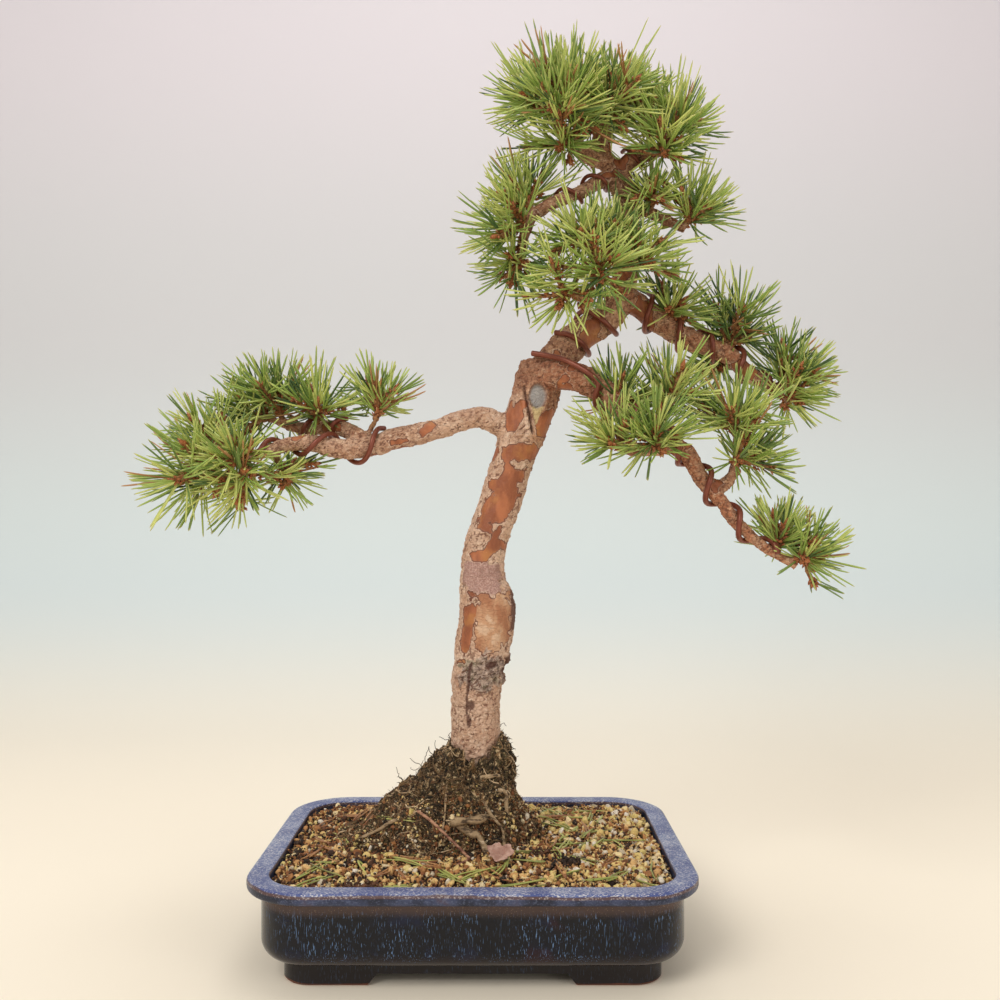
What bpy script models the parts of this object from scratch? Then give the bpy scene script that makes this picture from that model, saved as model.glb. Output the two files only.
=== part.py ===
"""Wired pine bonsai in a shallow rectangular glazed pot.

Metres, +Z up.  The tree is set out from the middle of its foot at soil level,
the pot from the middle of its footprint.  At the end everything hangs from one
empty that puts the middle of the underside of the whole at the origin.
"""

import math

import bmesh
import bpy
from mathutils import Vector

MM = 0.001
CLEARANCE = 0.3 * MM          # between pieces that touch

# Pot, outside
POT_LENGTH = 250 * MM
POT_WIDTH = 190 * MM
POT_HEIGHT = 56 * MM
LIP_CORNER = 37 * MM          # plan radius of the lip's corners
LIP_DEPTH = 5 * MM
LIP_ROUND = 2.2 * MM
LIP_OVERHANG = 8 * MM         # lip to body, each side
LIP_WIDTH = 12.5 * MM         # lip's outside to the cavity
PLINTH_INSET = 20.5 * MM      # lip to plinth, each side
PLINTH_TOP = 12.7 * MM
BODY_ROUND = 10 * MM          # bottom edge of the body
FOOT_HEIGHT = 6.3 * MM
FOOT_WIDTH = 16 * MM          # each leg of the L-shaped feet
FOOT_GAP_LONG = 103 * MM      # between the feet of a long side, at the top
FOOT_GAP_SHORT = 64 * MM
FOOT_SLANT = 5 * MM
FLOOR_THICKNESS = 6.7 * MM
CAVITY_ROUND = 5 * MM
DRAIN_RADIUS = 9 * MM
DRAIN_SPACING = 104 * MM

# Drain screens and the wire clips that hold them down
SCREEN_SIZE = 28 * MM
SCREEN_CELLS = 4
SCREEN_THICKNESS = 1.6 * MM
CLIP_WIRE = 1.2 * MM
CLIP_FOOT = 7 * MM

# Soil and old root ball
SOIL_EDGE_DROP = 4 * MM       # rim to soil along the wall
SOIL_DOME = 4 * MM
BALL_TOP = 67 * MM            # above soil level
BALL_BED = 9 * MM             # cavity floor to the underside of the root ball

# Tree
TRUNK_SOCKET_DEPTH = 60 * MM  # foot of the trunk, below the top of the root ball
WIRE_DIAMETER = 4 * MM
WIRE_STAND_OFF = 1.0 * MM     # wire to bark, measured at its turning points
WIRE_STEPS = 10               # points a turn
WIRE_STEP = 7 * MM            # spacing of the points of a lead
NEEDLE_REACH = 31 * MM        # from the bud to the needle tips
TUFT_GAP = 0.5 * MM
TUFT_BASE = 0.45              # share of the reach from the bud back to the shoot's base
LIMB_STEP = 11 * MM           # spacing of the rings along a limb
TWIG_STEP = 9 * MM
TWIG_RADIUS = 2.1 * MM
TWIG_TIP_RADIUS = 1.5 * MM
LAST_SHOOT = 0.955            # share of a limb beyond which no shoot starts

CAVITY_FLOOR = FOOT_HEIGHT + FLOOR_THICKNESS
SOIL_LEVEL = POT_HEIGHT - SOIL_EDGE_DROP
# Soil surface: distance in from the cavity wall, and height.
SOIL_PROFILE = [
    (CLEARANCE, SOIL_LEVEL - SOIL_DOME / 4), (8 * MM, SOIL_LEVEL),
    (22 * MM, SOIL_LEVEL + SOIL_DOME / 2), (44 * MM, SOIL_LEVEL + SOIL_DOME)]

# Limbs: centre-line points in mm from the foot of the trunk at soil level, each with the
# limb's radius there.  The order is x, y, z, radius.
LIMBS = {
    "trunk": [
        (0, 0, 90, 15.2), (2, 0, 108, 16.2), (6, 0, 133, 17.2), (7, 0, 150, 16.8),
        (4, 0, 163, 14.2), (7, 0, 187, 13.2), (14, 0, 206, 13), (23, 0, 235, 13.2),
        (30, 1, 256, 14.8), (37, 2, 276, 14.8), (38, 2, 290, 13.5), (37, 2, 299, 9.5)],
    "left": [
        (27, 1, 251, 9), (13, -2, 259, 7.4), (2, -5, 262, 6.8), (-11, -8, 259, 6.4),
        (-25, -10, 254, 6.5), (-49, -14, 248, 6.8), (-66, -16, 243, 6.8), (-80, -19, 242, 6.2),
        (-98, -22, 245, 5.2), (-111, -24, 244, 4.4), (-126, -27, 239, 3.4), (-142, -29, 234, 2.8)],
    "left_upper": [
        (-62, -16, 244, 5.2), (-73, -12, 251, 5), (-85, -4, 256, 5), (-98, 2, 256, 4.5),
        (-110, 7, 257, 3.8), (-124, 10, 261, 3)],
    "leader": [
        (37, 2, 282, 12), (52, 6, 302, 11), (64, 10, 314, 10.5), (82, 14, 327, 9.8),
        (92, 16, 342, 8.6), (96, 16, 365, 7.4), (97, 13, 388, 6.5), (95, 10, 403, 6.3),
        (91, 7, 414, 6), (84, 5, 422, 5.6), (74, 4, 425, 5.2), (64, 2, 432, 4.6),
        (52, 0, 445, 4), (42, 0, 459, 3.3)],
    "crown": [
        (82, 5, 421, 4.8), (81, 5, 432, 4.2), (80, 4, 444, 3.8), (79, 3, 456, 3.2)],
    "apex_right": [
        (89, 7, 415, 6), (97, 5, 425, 5.8), (108, 3, 429, 5), (118, 2, 430, 3.8)],
    "side_right": [
        (96, 12, 398, 4.6), (108, 8, 393, 3.8), (120, 6, 387, 3.4), (131, 4, 381, 3)],
    "upper_left": [
        (94, 10, 401, 5.6), (86, 5, 411, 5.2), (78, 2, 411, 5), (68, -1, 404, 4.6),
        (56, -5, 398, 4.2), (44, -8, 392, 3.8), (34, -10, 384, 3.4), (29, -9, 370, 3),
        (27, -8, 356, 2.5)],
    "upper_right": [
        (90, 15, 339, 8.5), (100, 17, 338, 8.3), (112, 18, 329, 8), (131, 20, 317, 7.2),
        (147, 22, 311, 6.6), (162, 24, 305, 6.2), (173, 25, 295, 5.4), (185, 25, 287, 4.5),
        (196, 25, 282, 3.4)],
    "centre": [
        (96, 16, 352, 5), (90, 4, 360, 4.4), (80, -12, 362, 3.8), (70, -24, 358, 3)],
    "lower_right": [
        (38, 1, 286, 11), (51, -10, 288, 9.6), (66, -18, 283, 8.4), (77, -22, 276, 7.5),
        (86, -24, 266, 7), (97, -26, 259, 6.5), (108, -28, 251, 6), (118, -30, 243, 5.9),
        (126, -30, 237, 5.5), (131, -30, 228, 5), (137, -30, 219, 4.8), (146, -30, 209, 4.2),
        (152, -30, 200, 3.8), (161, -30, 191, 3.3), (171, -30, 183, 3), (189, -30, 172, 2.5)],
    "lower_spur": [
        (134, -30, 223, 3.8), (146, -28, 219, 3.6), (153, -25, 226, 3.2), (156, -23, 236, 2.7)],
    "lower_back_spur": [
        (119, -30, 242, 3.8), (105, -34, 240, 3.4), (93, -38, 239, 3), (83, -41, 242, 2.6)],
}

# Wires: limb, where the coil starts and ends along it (0 to 1), turns (negative for the
# other hand), and the angle of its first point about the limb, in degrees from the upper side.
WIRES = {
    "wire_left_lower": ("left", 0.48, 0.93, -2.4, 20),
    "wire_left_upper": ("left_upper", 0.32, 0.92, -2.0, 0),
    "wire_leader": ("leader", 0.14, 0.34, 2.0, 20),
    "wire_upper_right": ("upper_right", 0.12, 0.97, 4.5, 0),
    "wire_lower_right": ("lower_right", 0.22, 0.93, 5.0, 75),
    "wire_upper_left": ("upper_left", 0.16, 0.56, 2.0, 130),
    "wire_apex": ("apex_right", 0.36, 0.62, 1.0, 0),
}

# The cut end of the lower right wire lies over the top of the trunk before its coil starts;
# points in mm from the foot of the trunk at soil level.
WIRE_LEADS = {
    "wire_lower_right": [(35, -10, 300.8), (44, -15, 298.5), (54, -22.8, 294.5), (66, -29, 287)],
}

# Needle tufts: limb the shoot leaves, where along it (0 to 1), the bud's place in mm from
# the foot of the trunk at soil level, and its reach as a share of NEEDLE_REACH.
TUFTS = {
    "needles_crown": [
        ("leader", 1.00, (33, 0, 464), 1.0), ("leader", 0.97, (48, 12, 475), 1.0),
        ("leader", 0.93, (66, -8, 472), 1.0), ("crown", 0.95, (82, -20, 452), 1.0),
        ("leader", 0.94, (56, -28, 444), 1.0), ("crown", 1.00, (95, 10, 470), 0.95),
        ("leader", 0.88, (51, -18, 424), 0.95), ("crown", 0.80, (72, 26, 453), 1.0)],
    "needles_apex": [
        ("apex_right", 0.70, (107, 8, 457), 0.95), ("apex_right", 1.00, (130, -2, 449), 1.0),
        ("apex_right", 0.95, (115, -16, 422), 0.85)],
    "needles_side": [
        ("side_right", 0.40, (108, -8, 402), 0.7), ("side_right", 1.00, (141, 2, 396), 0.95)],
    "needles_cloud": [
        ("upper_left", 0.70, (27, -3, 403), 0.95), ("upper_left", 0.78, (15, -10, 377), 1.05),
        ("upper_left", 1.00, (22, -9, 344), 0.95)],
    "needles_centre": [
        ("centre", 0.90, (57, -36, 366), 1.0), ("centre", 1.00, (73, -50, 337), 1.0),
        ("centre", 0.95, (49, -40, 324), 0.9), ("centre", 0.35, (105, -22, 354), 0.95),
        ("centre", 0.55, (86, -8, 376), 0.95)],
    "needles_upper": [
        ("upper_right", 0.33, (130, 10, 337), 0.9), ("upper_right", 0.66, (168, 26, 327), 1.05),
        ("upper_right", 0.72, (154, 42, 300), 0.8), ("upper_right", 1.00, (208, 27, 295), 1.0),
        ("upper_right", 0.96, (204, 13, 274), 0.95)],
    "needles_lower": [
        ("lower_right", 0.37, (90, -14, 270), 0.9), ("lower_right", 0.44, (119, -20, 279), 1.1),
        ("lower_back_spur", 0.45, (104, -54, 250), 0.95),
        ("lower_back_spur", 1.00, (74, -44, 246), 0.9), ("lower_spur", 1.00, (155, -22, 268), 1.05),
        ("lower_spur", 0.55, (168, -24, 236), 0.9), ("lower_right", 0.93, (184, -24, 194), 0.85),
        ("lower_right", 1.00, (206, -32, 175), 1.0)],
    "needles_left": [
        ("left_upper", 0.97, (-126, 6, 280), 1.05), ("left_upper", 0.72, (-95, -14, 270), 0.95),
        ("left_upper", 1.00, (-149, 12, 267), 1.0), ("left", 0.97, (-166, -6, 248), 1.0),
        ("left", 0.94, (-139, -48, 232), 0.95), ("left", 1.00, (-172, -28, 222), 1.15),
        ("left", 0.96, (-138, -34, 210), 1.0), ("left", 0.86, (-114, -6, 221), 0.8)],
    "needles_shoot": [
        ("left", 0.53, (-57, -7, 274), 0.85)],
}


# ---------------------------------------------------------------- helpers

def clear_scene():
    for item in list(bpy.data.objects):
        bpy.data.objects.remove(item, do_unlink=True)


def new_collection(name):
    collection = bpy.data.collections.new(name)
    bpy.context.scene.collection.children.link(collection)
    return collection


def finish_material(name, colour, roughness, metallic=0.0):
    material = bpy.data.materials.new(name)
    material.use_nodes = True
    shader = material.node_tree.nodes["Principled BSDF"]
    shader.inputs["Base Color"].default_value = (*colour, 1)
    shader.inputs["Roughness"].default_value = roughness
    shader.inputs["Metallic"].default_value = metallic
    return material


def add_object(name, data, collection, material=None):
    item = bpy.data.objects.new(name, data)
    collection.objects.link(item)
    if material:
        item.data.materials.append(material)
    return item


def mesh_object(name, bm, collection, material=None, smooth=True):
    bmesh.ops.recalc_face_normals(bm, faces=bm.faces)
    mesh = bpy.data.meshes.new(name)
    bm.to_mesh(mesh)
    bm.free()
    if smooth:
        mesh.shade_smooth()
        mesh.set_sharp_from_angle(angle=math.radians(40))
    return add_object(name, mesh, collection, material)


def hide_cutter(item):
    item.hide_render = True
    item.display_type = "WIRE"


def boolean(item, cutter, operation):
    modifier = item.modifiers.new(cutter.name, "BOOLEAN")
    modifier.operation = operation
    modifier.object = cutter
    hide_cutter(cutter)


def rounded_block(name, length, width, low, high, corner, collection,
                  top_round=0.0, bottom_round=0.0):
    """A box with round plan corners and, where asked, round top or bottom edges."""
    bm = bmesh.new()
    bmesh.ops.create_cube(bm, size=1)
    for vert in bm.verts:
        vert.co.x *= length
        vert.co.y *= width
        vert.co.z = high if vert.co.z > 0 else low
    upright = [e for e in bm.edges if abs(e.verts[0].co.z - e.verts[1].co.z) > high - low - 1e-6]
    if corner > 0:
        bmesh.ops.bevel(bm, geom=upright, offset=corner, segments=6, profile=0.5, affect="EDGES")
    for level, radius in ((high, top_round), (low, bottom_round)):
        if radius > 0:
            rim = [e for e in bm.edges if all(abs(v.co.z - level) < 1e-7 for v in e.verts)]
            bmesh.ops.bevel(bm, geom=rim, offset=radius, segments=3, profile=0.5, affect="EDGES")
    return mesh_object(name, bm, collection)


def lofted(name, rings, collection, material=None):
    """A closed solid through rings of points that have the same count."""
    bm = bmesh.new()
    loops = [[bm.verts.new(point) for point in ring] for ring in rings]
    for lower, upper in zip(loops, loops[1:]):
        for i in range(len(lower)):
            j = (i + 1) % len(lower)
            bm.faces.new((lower[i], lower[j], upper[j], upper[i]))
    bmesh.ops.triangulate(bm, faces=bm.faces, quad_method="FIXED")
    bm.faces.new(loops[0][::-1])
    bm.faces.new(loops[-1])
    return mesh_object(name, bm, collection, material)


def rounded_outline(half_length, half_width, corner, level, corner_points=5):
    """Points of a rectangle with round corners at one height, anticlockwise."""
    points = []
    for quarter in range(4):
        side_x = 1 if quarter in (0, 3) else -1
        side_y = 1 if quarter in (0, 1) else -1
        centre = Vector((side_x * (half_length - corner), side_y * (half_width - corner), level))
        for step in range(corner_points):
            angle = math.radians(90) * (quarter + step / (corner_points - 1))
            points.append(centre + corner * Vector((math.cos(angle), math.sin(angle), 0)))
    return points


def smooth_path(points, step):
    """Points about a step apart on a Catmull-Rom curve; each is x, y, z, radius."""
    rows = [tuple(points[0])] + [tuple(p) for p in points] + [tuple(points[-1])]
    result = []
    for before, start, end, after in zip(rows, rows[1:], rows[2:], rows[3:]):
        length = (Vector(end[:3]) - Vector(start[:3])).length
        count = max(1, round(length / step))
        for i in range(count):
            t = i / count
            result.append(tuple(
                0.5 * (2 * b + (c - a) * t + (2 * a - 5 * b + 4 * c - d) * t ** 2
                       + (3 * b - a - 3 * c + d) * t ** 3)
                for a, b, c, d in zip(before, start, end, after)))
    result.append(rows[-1])
    return result


def tube_curve(name, path, collection, sides, material=None):
    """A tube with filled ends through points x, y, z, radius; sides is even, 6 or more."""
    curve = bpy.data.curves.new(name, "CURVE")
    curve.dimensions = "3D"
    widest = max(p[3] for p in path)
    curve.bevel_depth = widest
    curve.bevel_resolution = (sides - 4) // 2
    curve.resolution_u = 1
    curve.render_resolution_u = 0
    curve.use_fill_caps = True
    spline = curve.splines.new("POLY")
    spline.points.add(len(path) - 1)
    for point, (x, y, z, radius) in zip(spline.points, path):
        point.co = (x, y, z, 1)
        point.radius = radius / widest
    spline.use_smooth = True
    return add_object(name, curve, collection, material)


def tube_mesh(name, path, collection, sides, material=None):
    """The same tube as a closed mesh, for a Boolean."""
    guide = tube_curve(name + "_guide", path, collection, sides)
    bpy.context.view_layer.update()
    evaluated = guide.evaluated_get(bpy.context.evaluated_depsgraph_get())
    mesh = bpy.data.meshes.new_from_object(evaluated)
    bm = bmesh.new()
    bm.from_mesh(mesh)
    bmesh.ops.remove_doubles(bm, verts=bm.verts, dist=1e-6)
    bpy.data.meshes.remove(mesh)
    bpy.data.objects.remove(guide, do_unlink=True)
    return mesh_object(name, bm, collection, material)


# ---------------------------------------------------------------- pot

def cavity_half_size():
    return POT_LENGTH / 2 - LIP_WIDTH, POT_WIDTH / 2 - LIP_WIDTH


def tunnel(name, length, width, cutters):
    """A slot under the pot between two pairs of feet; its sides slant outwards going down."""
    bm = bmesh.new()
    bmesh.ops.create_cube(bm, size=1)
    depth = 2 * MM
    for vert in bm.verts:
        spread = 0 if vert.co.z > 0 else FOOT_SLANT * (FOOT_HEIGHT + depth) / FOOT_HEIGHT
        vert.co.x = math.copysign(length / 2 + (spread if length < width else 0), vert.co.x)
        vert.co.y = math.copysign(width / 2 + (spread if width < length else 0), vert.co.y)
        vert.co.z = FOOT_HEIGHT if vert.co.z > 0 else -depth
    return mesh_object(name, bm, cutters)


def make_pot(parts, cutters, material):
    body_corner = LIP_CORNER - LIP_OVERHANG
    plinth_corner = LIP_CORNER - PLINTH_INSET
    pot = rounded_block(
        "pot", POT_LENGTH - 2 * LIP_OVERHANG, POT_WIDTH - 2 * LIP_OVERHANG,
        PLINTH_TOP, POT_HEIGHT - LIP_DEPTH / 2, body_corner, parts, bottom_round=BODY_ROUND)
    pot.data.materials.append(material)
    lip = rounded_block(
        "lip_shape", POT_LENGTH, POT_WIDTH, POT_HEIGHT - LIP_DEPTH, POT_HEIGHT,
        LIP_CORNER, cutters, LIP_ROUND, LIP_ROUND)
    boolean(pot, lip, "UNION")
    plinth = rounded_block(
        "plinth_shape", POT_LENGTH - 2 * PLINTH_INSET, POT_WIDTH - 2 * PLINTH_INSET,
        0, PLINTH_TOP + FLOOR_THICKNESS / 2, plinth_corner, cutters)
    boolean(pot, plinth, "UNION")
    boolean(pot, tunnel("foot_gap_long", FOOT_GAP_LONG, POT_WIDTH + LIP_WIDTH, cutters),
            "DIFFERENCE")
    boolean(pot, tunnel("foot_gap_short", POT_LENGTH + LIP_WIDTH, FOOT_GAP_SHORT, cutters),
            "DIFFERENCE")
    recess = rounded_block(
        "recess_shape", POT_LENGTH - 2 * (PLINTH_INSET + FOOT_WIDTH),
        POT_WIDTH - 2 * (PLINTH_INSET + FOOT_WIDTH), -FOOT_HEIGHT, FOOT_HEIGHT, 0, cutters)
    boolean(pot, recess, "DIFFERENCE")
    half_length, half_width = cavity_half_size()
    cavity = rounded_block(
        "cavity_shape", 2 * half_length, 2 * half_width, CAVITY_FLOOR, POT_HEIGHT + LIP_DEPTH,
        LIP_CORNER - LIP_WIDTH, cutters, bottom_round=CAVITY_ROUND)
    boolean(pot, cavity, "DIFFERENCE")
    for side, name in ((-1, "drain_left_shape"), (1, "drain_right_shape")):
        bm = bmesh.new()
        bmesh.ops.create_cone(bm, cap_ends=True, segments=24, radius1=DRAIN_RADIUS,
                              radius2=DRAIN_RADIUS, depth=4 * FLOOR_THICKNESS)
        bmesh.ops.translate(
            bm, verts=bm.verts,
            vec=(side * DRAIN_SPACING / 2, 0, FOOT_HEIGHT + FLOOR_THICKNESS / 2))
        boolean(pot, mesh_object(name, bm, cutters), "DIFFERENCE")
    return pot


def screen_level():
    """Underside of the drain screens."""
    return CAVITY_FLOOR + CLEARANCE


def make_screen(name, side, parts, material):
    """A square plastic lattice: a grid whose lines are given thickness."""
    bm = bmesh.new()
    bmesh.ops.create_grid(bm, x_segments=SCREEN_CELLS, y_segments=SCREEN_CELLS,
                          size=SCREEN_SIZE / 2 - SCREEN_THICKNESS / 2)
    bmesh.ops.translate(bm, verts=bm.verts, vec=(
        side * DRAIN_SPACING / 2, 0, screen_level() + SCREEN_THICKNESS / 2))
    screen = mesh_object(name, bm, parts, material, smooth=False)
    lattice = screen.modifiers.new("lattice", "WIREFRAME")
    lattice.thickness = SCREEN_THICKNESS
    lattice.use_boundary = True
    lattice.use_even_offset = False
    return screen


def clip_height():
    """Centre of the clip's crossbar, which lies on the screen."""
    return screen_level() + SCREEN_THICKNESS + CLEARANCE + CLIP_WIRE / 2


def make_clip(name, side, parts, material):
    """A bent wire staple: over the screen, down through the drain, out under the floor."""
    pitch = SCREEN_SIZE / SCREEN_CELLS
    reach = pitch / 2
    under = FOOT_HEIGHT - CLEARANCE - CLIP_WIRE / 2
    half = DRAIN_RADIUS + CLIP_FOOT / 2
    profile = [(-half, under), (-reach, under), (-reach, clip_height()),
               (reach, clip_height()), (reach, under), (half, under)]
    path = []
    for start, end in zip(profile, profile[1:]):
        for t in (0.12, 0.88):
            path.append((side * DRAIN_SPACING / 2 + start[0] + (end[0] - start[0]) * t,
                         reach, start[1] + (end[1] - start[1]) * t, CLIP_WIRE / 2))
    return tube_curve(name, path, parts, 8, material)


# ---------------------------------------------------------------- soil and root ball

def ball_rings(growth=0.0):
    """Root ball sections from the buried old ball to the mossy collar about the trunk."""
    bed = (CAVITY_FLOOR + BALL_BED - SOIL_LEVEL) / MM
    sections = [
        (bed, -6, 0, 40, 34), (-2, -20, 0, 64, 39), (5, -22, 0, 63, 38), (14, -21, 0, 56, 35),
        (27, -19, 0, 46, 32), (39, -10, 0, 35.5, 29), (55, -5, 0, 26.5, 24)]
    sections.append((BALL_TOP / MM, -1, 0, 21, 20))
    rings = []
    for index, (level, x, y, half_x, half_y) in enumerate(sections):
        last = index == len(sections) - 1
        shift = growth if last else (-growth if index == 0 else 0)
        ring = []
        for i in range(20):
            angle = math.tau * i / 20
            lobe = 1 + 0.05 * math.sin(3 * angle + 0.13 * level) + 0.03 * math.cos(7 * angle)
            ring.append(Vector((
                x * MM + (half_x * MM * lobe + growth) * math.cos(angle),
                y * MM + (half_y * MM * lobe + growth) * math.sin(angle),
                SOIL_LEVEL + level * MM + shift)))
        rings.append(ring)
    return rings


def trunk_foot():
    """Top and bottom of the trunk's foot, which stands in the root ball."""
    top = SOIL_LEVEL + BALL_TOP
    return top, top - TRUNK_SOCKET_DEPTH


def trunk_radius():
    """Radius of the trunk where it leaves the root ball."""
    return LIMBS["trunk"][0][3] * MM


def make_root_ball(parts, cutters, material):
    ball = lofted("root_ball", ball_rings(), parts, material)
    top, bottom = trunk_foot()
    bm = bmesh.new()
    radius = (trunk_radius() + CLEARANCE) / math.cos(math.pi / 32)
    bmesh.ops.create_cone(bm, cap_ends=True, segments=32, radius1=radius, radius2=radius,
                          depth=2 * (top - bottom + CLEARANCE))
    bmesh.ops.translate(bm, verts=bm.verts, vec=(0, 0, top))
    boolean(ball, mesh_object("trunk_socket_shape", bm, cutters), "DIFFERENCE")
    return ball


def make_substrate(parts, cutters, material):
    """Gritty soil that fills the pot, cut for the root ball, screens and clips."""
    half_length, half_width = cavity_half_size()
    corner = LIP_CORNER - LIP_WIDTH
    stations = [
        (CLEARANCE + CAVITY_ROUND, CAVITY_FLOOR + CLEARANCE),
        (CLEARANCE, CAVITY_FLOOR + CLEARANCE + CAVITY_ROUND)] + SOIL_PROFILE
    rings = [rounded_outline(half_length - inset, half_width - inset,
                             max(corner - inset, 2 * MM), level)
             for inset, level in stations]
    soil = lofted("substrate", rings, parts, material)
    boolean(soil, lofted("root_ball_shape", ball_rings(CLEARANCE), cutters), "DIFFERENCE")
    pocket_top = clip_height() + CLIP_WIRE / 2 + CLEARANCE
    pocket_size = SCREEN_SIZE + 2 * CLEARANCE
    for side, name in ((-1, "screen_left_shape"), (1, "screen_right_shape")):
        pocket = rounded_block(name, pocket_size, pocket_size, CAVITY_FLOOR - FLOOR_THICKNESS,
                               pocket_top, 0, cutters)
        pocket.location.x = side * DRAIN_SPACING / 2
        boolean(soil, pocket, "DIFFERENCE")
    return soil


# ---------------------------------------------------------------- wood

def limb_path(name):
    """Centre line of a limb in metres: x, y, z, radius."""
    rows = [(x * MM, y * MM, z * MM + SOIL_LEVEL, r * MM) for x, y, z, r in LIMBS[name]]
    if name == "trunk":
        top, bottom = trunk_foot()
        rows = [(0, 0, bottom, trunk_radius()), (0, 0, top, trunk_radius())] + rows
    return smooth_path(rows, LIMB_STEP)


def along(path, share):
    """Point, direction and radius at a share of a path's length."""
    spots = [Vector(p[:3]) for p in path]
    lengths = [(b - a).length for a, b in zip(spots, spots[1:])]
    left = share * sum(lengths)
    for i, length in enumerate(lengths):
        if left <= length or i == len(lengths) - 1:
            t = min(left / length, 1)
            radius = path[i][3] + (path[i + 1][3] - path[i][3]) * t
            return spots[i].lerp(spots[i + 1], t), (spots[i + 1] - spots[i]).normalized(), radius
        left -= length


def wire_path(name):
    """A coil wound round a limb, a stand-off above its bark."""
    limb, start, end, turns, first = WIRES[name]
    path = limb_path(limb)
    count = round(abs(turns) * WIRE_STEPS)
    hand = math.copysign(1, turns)
    side = Vector((0, 0, 1))
    result = []
    for i in range(count + 1):
        point, direction, radius = along(path, start + (end - start) * i / count)
        side = (side - side.dot(direction) * direction).normalized()
        across = direction.cross(side)
        angle = math.radians(first) + hand * math.tau * i / WIRE_STEPS
        reach = radius + WIRE_STAND_OFF + WIRE_DIAMETER / 2
        spot = point + reach * (math.cos(angle) * side + math.sin(angle) * across)
        result.append((*spot, WIRE_DIAMETER / 2))
    lead = [(x * MM, y * MM, z * MM + SOIL_LEVEL, WIRE_DIAMETER / 2)
            for x, y, z in WIRE_LEADS.get(name, [])]
    return smooth_path(lead + result, WIRE_STEP) if lead else result


def make_wire(name, parts, material):
    return tube_curve(name, wire_path(name), parts, 8, material)


def segments(path):
    """Straight stretches of a tube: both ends and the larger radius."""
    return [(Vector(a[:3]), Vector(b[:3]), max(a[3], b[3])) for a, b in zip(path, path[1:])]


def free_share(limb, share, bud):
    """The place near a share of a limb where a shoot towards the bud is clear of the wire."""
    winding = [Vector(p[:3]) for name, row in WIRES.items() if row[0] == limb
               for p in wire_path(name)]
    path = limb_path(limb)
    best = None
    for step in range(-8, 9):
        trial = min(max(share + step * 0.012, 0.0), LAST_SHOOT)
        point, _, radius = along(path, trial)
        heading = (bud - point).normalized()
        shoot = [point + heading * (radius + reach * MM) for reach in (0, 3, 6, 10)]
        room = min([(w - s).length for w in winding for s in shoot] + [1.0])
        wanted = TWIG_RADIUS + WIRE_DIAMETER
        score = min(room, wanted) - abs(step) * 0.1 * MM
        if best is None or score > best[0]:
            best = (score, trial)
    return best[1]


def twig_path(row):
    """A shoot from its limb to the base of its needles, and the way it points there."""
    limb, share, place, reach = row
    bud = Vector(place) * MM + Vector((0, 0, SOIL_LEVEL))
    start, direction, radius = along(limb_path(limb), free_share(limb, share, bud))
    heading = (bud - start).normalized()
    end = bud - heading * NEEDLE_REACH * reach * TUFT_BASE
    if (end - start).dot(heading) < radius + 2 * MM:
        end = start + heading * (radius + 2 * MM)
    rows = [(*start, TWIG_RADIUS), (*end, TWIG_TIP_RADIUS)]
    length = (end - start).length
    if length > TWIG_STEP:
        middle = start.lerp(end, 0.5) + direction * 0.08 * length
        tip = end - heading * 0.2 * length
        rows[1:1] = [(*middle, TWIG_RADIUS), (*tip, TWIG_TIP_RADIUS)]
    return smooth_path(rows, TWIG_STEP), heading


def make_wood(parts, cutters, material):
    """Trunk, limbs and shoots grown together into one solid."""
    wood = tube_mesh("trunk_and_branches", limb_path("trunk"), parts, 14, material)
    limbs = new_collection("limb_shapes")
    cutters.children.link(limbs)
    bpy.context.scene.collection.children.unlink(limbs)
    for name in LIMBS:
        if name != "trunk":
            hide_cutter(tube_mesh("limb_" + name, limb_path(name), limbs, 10))
    for group, rows in TUFTS.items():
        for index, row in enumerate(rows, 1):
            hide_cutter(tube_mesh(f"twig_{group}_{index}", twig_path(row)[0], limbs, 6))
    union = wood.modifiers.new("limbs", "BOOLEAN")
    union.operation = "UNION"
    union.operand_type = "COLLECTION"
    union.collection = limbs
    union.use_self = True
    return wood


# ---------------------------------------------------------------- needles

def nearest_on_segment(start, end, point):
    line = end - start
    t = max(0.0, min(1.0, (point - start).dot(line) / line.length_squared))
    return start + line * t


def tuft_planes(key, rows, obstacles):
    """Planes that keep a tuft off its own shoot, the wood and wires, and the other tufts."""
    _, _, place, reach = rows[key]
    centre = Vector(place) * MM + Vector((0, 0, SOIL_LEVEL))
    radius = NEEDLE_REACH * reach
    path, heading = twig_path(rows[key])
    planes = [(Vector(path[-1][:3]) + heading * CLEARANCE, heading)]
    near = []
    for owner, start, end, thickness in obstacles:
        spot = nearest_on_segment(start, end, centre)
        distance = (centre - spot).length
        if owner != key and distance < radius * 1.1 + thickness:
            near.append((distance - thickness, spot, start, end, thickness))
    for _, spot, start, end, thickness in sorted(near, key=lambda item: item[0]):
        parted = any(max((start - at).dot(n), (end - at).dot(n)) + thickness < 0
                     for at, n in planes)
        if not parted:
            normal = (centre - spot).normalized()
            planes.append((spot + normal * (thickness + TUFT_GAP), normal))
    for other, (_, _, other_place, other_reach) in rows.items():
        offset = Vector(other_place) * MM + Vector((0, 0, SOIL_LEVEL)) - centre
        other_radius = NEEDLE_REACH * other_reach
        if other != key and offset.length < 1.1 * (radius + other_radius):
            share = (offset.length_squared + radius ** 2 - other_radius ** 2) / (2 * offset.length)
            normal = -offset.normalized()
            planes.append((centre - normal * (share - TUFT_GAP / 2), normal))
    return centre, radius, heading, planes


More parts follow.
